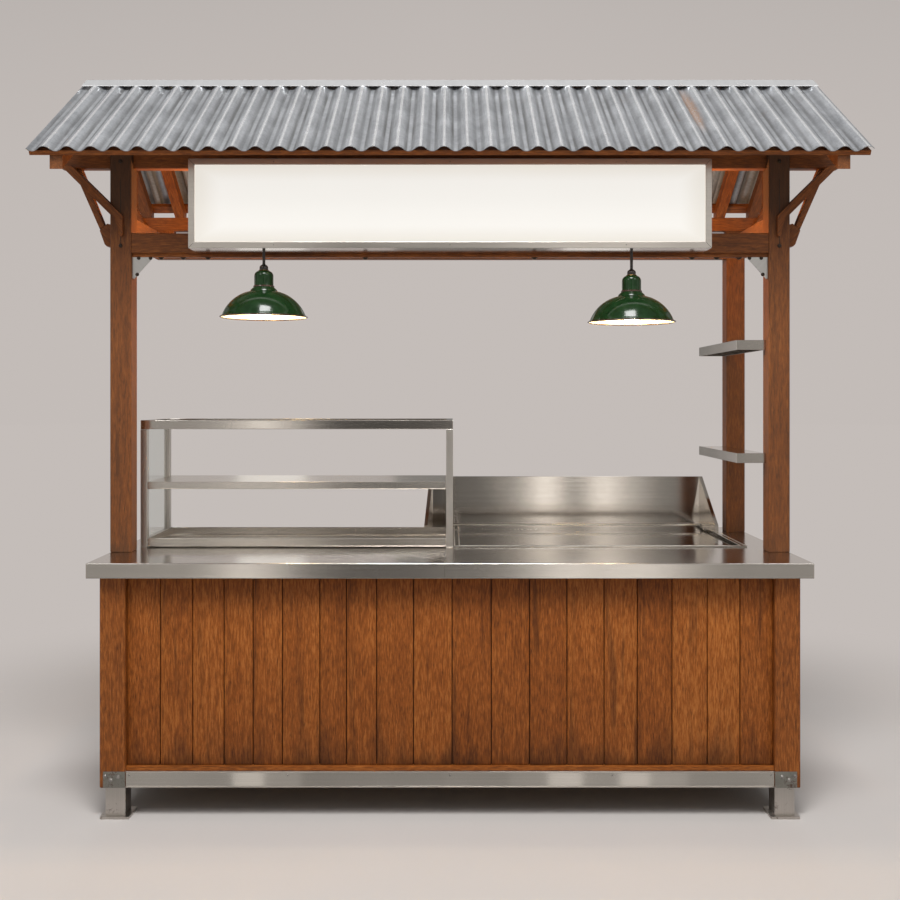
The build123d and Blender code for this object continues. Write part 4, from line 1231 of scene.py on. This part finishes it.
@dataclass
class Studio:
    """Floor, background, lights, reflection cards and camera."""

    backdrop: Colour = (0.552, 0.508, 0.484, 1.0)
    floor: Colour = (0.590, 0.556, 0.534, 1.0)
    near: float = 1.3
    far: float = 3.4
    ambient: Colour = (0.255, 0.253, 0.250, 1.0)
    card_radius: float = 5.6
    card_height: float = 4.2
    softboxes: tuple[tuple, ...] = (
        ("top_front", (0.0, -3.0, 6.0), (0.0, 0.0, 0.6), (2.0, 1.6), 275.0),
        ("front_left", (-3.4, -4.0, 5.0), (0.0, 0.0, 0.6), (1.6, 1.6), 48.0),
        ("front_right", (3.4, -4.0, 5.0), (0.0, 0.0, 0.6), (1.6, 1.6), 48.0),
        ("rear_top", (0.0, 3.8, 4.6), (0.0, 0.0, 1.0), (4.4, 1.8), 95.0),
    )
    mirror_y: float = 3.035
    edge_y: float = -0.585
    near_y: float = -0.72
    front_cards: tuple[Triple, ...] = (
        (-1.60, -0.86, 0.42), (-0.86, -0.73, 0.36), (-0.73, -0.625, 1.9), (-0.625, -0.50, 0.6),
        (-0.50, -0.02, 0.10), (-0.02, 0.20, 0.22), (0.20, 0.33, 0.5), (0.33, 0.445, 1.9),
        (0.445, 0.57, 0.45), (0.57, 0.67, 1.9), (0.67, 0.80, 0.75), (0.80, 1.04, 0.30), (1.04, 1.60, 0.42),
    )
    ring_cards: tuple[Triple, ...] = (
        (68.0, 3.0, 2.0), (-68.0, 3.0, 2.0), (90.0, 8.0, 0.15), (-90.0, 8.0, 0.15), (112.0, 3.0, 2.0),
        (-112.0, 3.0, 2.0), (135.0, 7.0, 0.15), (-135.0, 7.0, 0.15), (166.7, 3.0, 1.0), (-163.9, 3.0, 1.0),
        (178.0, 7.0, 0.25),
    )

    def build(self) -> None:
        """Set up the studio."""
        scene = bpy.context.scene
        scene.view_settings.view_transform = "Standard"
        self._camera(scene)
        self._world(scene)
        self._floor()
        for name, place, target, size, power in self.softboxes:
            data = self._light(name, "AREA", place, power, name != "rear_top", target)
            data.shape = "RECTANGLE"
            data.size, data.size_y = size
        for node in ("lamp_left_bulb", "lamp_right_bulb"):
            low, high = corners(node)
            place = ((low.x + high.x) / 2, (low.y + high.y) / 2, low.z - 0.012)
            self._glow(node, place, 5.0, (1.0, 0.78, 0.50), True)
        for name, side in (("roof_left", -1), ("roof_right", 1)):
            self._glow(name, (side * 0.86, -0.12, 2.08), 9.0, (1.0, 0.60, 0.27), False)
        self._cards()

    def _light(
        self, name: str, kind: str, place: Triple, power: float, glossy: bool, target: Triple | None = None
    ) -> bpy.types.Light:
        """Add a light that the camera doesn't see.

        Args:
            name: The light's name.
            kind: Its kind.
            place: Where it stands.
            power: Its power in watts.
            glossy: Whether reflections show it.
            target: The point it faces, if it faces one.

        Returns:
            The light's data.
        """
        data = bpy.data.lights.new(name, kind)
        data.energy = power
        light = bpy.data.objects.new(name, data)
        light.location = place
        if target:
            light.rotation_euler = (Vector(target) - Vector(place)).to_track_quat("-Z", "Y").to_euler()
        light.visible_camera = False
        light.visible_glossy = glossy
        bpy.context.scene.collection.objects.link(light)
        return data

    def _glow(self, name: str, place: Triple, power: float, colour: Triple, glossy: bool) -> None:
        """Add a small warm light.

        Args:
            name: What it stands for.
            place: Where it hangs.
            power: Its power in watts.
            colour: Its colour.
            glossy: Whether reflections show it.
        """
        data = self._light(name + "_light", "POINT", place, power, glossy)
        data.color = colour
        data.shadow_soft_size = 0.028

    def _card_feet(self) -> list[tuple[list[list[Vector]], float]]:
        """Lay out the cards on the ground.

        Returns:
            For each card the pairs of points that it passes over, and its strength.
        """
        paths = []
        for start, end, strength in self.front_cards:
            feet = []
            for depth in (self.near_y, -self.card_radius):
                spread = (self.mirror_y - depth) / (self.mirror_y - self.edge_y)
                feet.append([Vector((place * spread, depth, 0.012)) for place in (start, end)])
            paths.append((feet, strength))
        for azimuth, half_width, strength in self.ring_cards:
            ends = [math.radians(azimuth + side * half_width) for side in (-1, 1)]
            foot = [self.card_radius * Vector((math.sin(end), -math.cos(end), 0.0)) for end in ends]
            paths.append(([foot], strength))
        return paths

    def _cards(self) -> None:
        """Stand pale and dark cards round the kiosk that only reflections show."""
        paths = self._card_feet()
        bands = sorted({strength for _, strength in paths})
        mesh = bmesh.new()
        for feet, strength in paths:
            rows = [*feet, [foot + Vector((0.0, 0.0, self.card_height)) for foot in feet[-1]]]
            edge = mesh.edges.new([mesh.verts.new(foot) for foot in rows[0]])
            for row, following in zip(rows, rows[1:]):
                raised = bmesh.ops.extrude_edge_only(mesh, edges=[edge])["geom"]
                edge = next(item for item in raised if isinstance(item, bmesh.types.BMEdge))
                for vert in edge.verts:
                    nearest = min((0, 1), key=lambda side: (vert.co - row[side]).length)
                    vert.co = following[nearest]
                for face in edge.link_faces:
                    face.material_index = bands.index(strength)
        cards = mesh_object(mesh, "cards")
        for strength in bands:
            cards.data.materials.append(self._card_material(strength))
        for kind in ("camera", "diffuse", "transmission", "volume_scatter", "shadow"):
            setattr(cards, "visible_" + kind, False)

    def _card_material(self, strength: float) -> bpy.types.Material:
        """Make the glow of the cards of one strength, milder near the kiosk.

        Args:
            strength: The glow's strength far from the kiosk.

        Returns:
            The material.
        """
        material, sheet, _ = new_material(f"card_{round(strength * 100)}")
        depth = sheet.math("ABSOLUTE", sheet.split(sheet.place())[1])
        near = CARD_MEAN + (strength - CARD_MEAN) * 0.25
        power = sheet.span(depth, 1.1, 4.6, near, strength)
        glow = sheet.add("ShaderNodeEmission", {"Color": (1.0, 0.96, 0.91, 1.0), "Strength": power})
        sheet.wire(material.node_tree.nodes["Material Output"], {"Surface": glow.outputs[0]})
        return material

    def _camera(self, scene: bpy.types.Scene) -> None:
        """Create the camera at the photograph's place."""
        data = bpy.data.cameras.new("camera")
        data.sensor_width = 36.0
        data.lens = 44.0
        data.shift_y = -51 / 900
        camera = bpy.data.objects.new("camera", data)
        camera.location = (0.0, -4.205, 1.393)
        camera.rotation_euler = (math.radians(90), 0.0, 0.0)
        scene.collection.objects.link(camera)
        scene.camera = camera

    def _world(self, scene: bpy.types.Scene) -> None:
        """Light the scene evenly, and show a pale background to the camera and to reflections."""
        world = bpy.data.worlds.new("studio")
        world.use_nodes = True
        scene.world = world
        sheet = NodeSheet(world.node_tree)
        parts = sheet.split(sheet.add("ShaderNodeTexCoord").outputs["Generated"])
        height = sheet.math("MAXIMUM", parts[2], 0.0)
        side = sheet.math("ABSOLUTE", parts[0])
        fade = sheet.total((sheet.math("MULTIPLY", height, height), 0.9), (side, 0.10))
        seen = sheet.mix(sheet.span(fade, 0.0, 0.4), self.backdrop, (0.300, 0.283, 0.270, 1.0))
        path = sheet.add("ShaderNodeLightPath").outputs
        shown = sheet.math("MAXIMUM", path["Is Camera Ray"], path["Is Glossy Ray"])
        shown = sheet.math("MAXIMUM", shown, path["Is Transmission Ray"])
        sheet.wire(world.node_tree.nodes["Background"], {"Color": sheet.mix(shown, self.ambient, seen)})

    def _floor(self) -> None:
        """Add a round floor that fades into the background away from the kiosk."""
        mesh = bmesh.new()
        bmesh.ops.create_circle(mesh, cap_ends=True, segments=96, radius=60.0)
        floor = mesh_object(mesh, "floor")
        material, sheet, shader = new_material("floor_pale")
        place = sheet.place()
        distance = sheet.add("ShaderNodeVectorMath", {0: place}, operation="LENGTH").outputs["Value"]
        colour = sheet.mix(sheet.noise(place, 1.3, 3.0), self.floor, tint(self.floor, 0.96))
        sheet.wire(shader, {"Base Color": colour, "Roughness": 0.75, "Specular IOR Level": 0.0})
        glow = sheet.add("ShaderNodeEmission", {"Color": self.backdrop, "Strength": 1.0})
        feeds = {0: sheet.span(distance, self.near, self.far), 1: shader.outputs[0], 2: glow.outputs[0]}
        blend = sheet.add("ShaderNodeMixShader", feeds)
        sheet.wire(material.node_tree.nodes["Material Output"], {"Surface": blend.outputs[0]})
        floor.data.materials.append(material)


def main() -> None:
    """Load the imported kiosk, build and dress each sub-assembly, and set up the studio."""
    logging.basicConfig(level=logging.INFO, format="%(name)s: %(message)s")
    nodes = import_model()["nodes"]
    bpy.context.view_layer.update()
    Studio().build()
    lamps = [PendantLamp(nodes, name) for name in ("lamp_left", "lamp_right")]
    for part in (Base(nodes), Frame(nodes), Counter(nodes), Rack(nodes), Roof(nodes), Sign(nodes), *lamps):
        part.build()


if __name__ == "__main__":
    main()
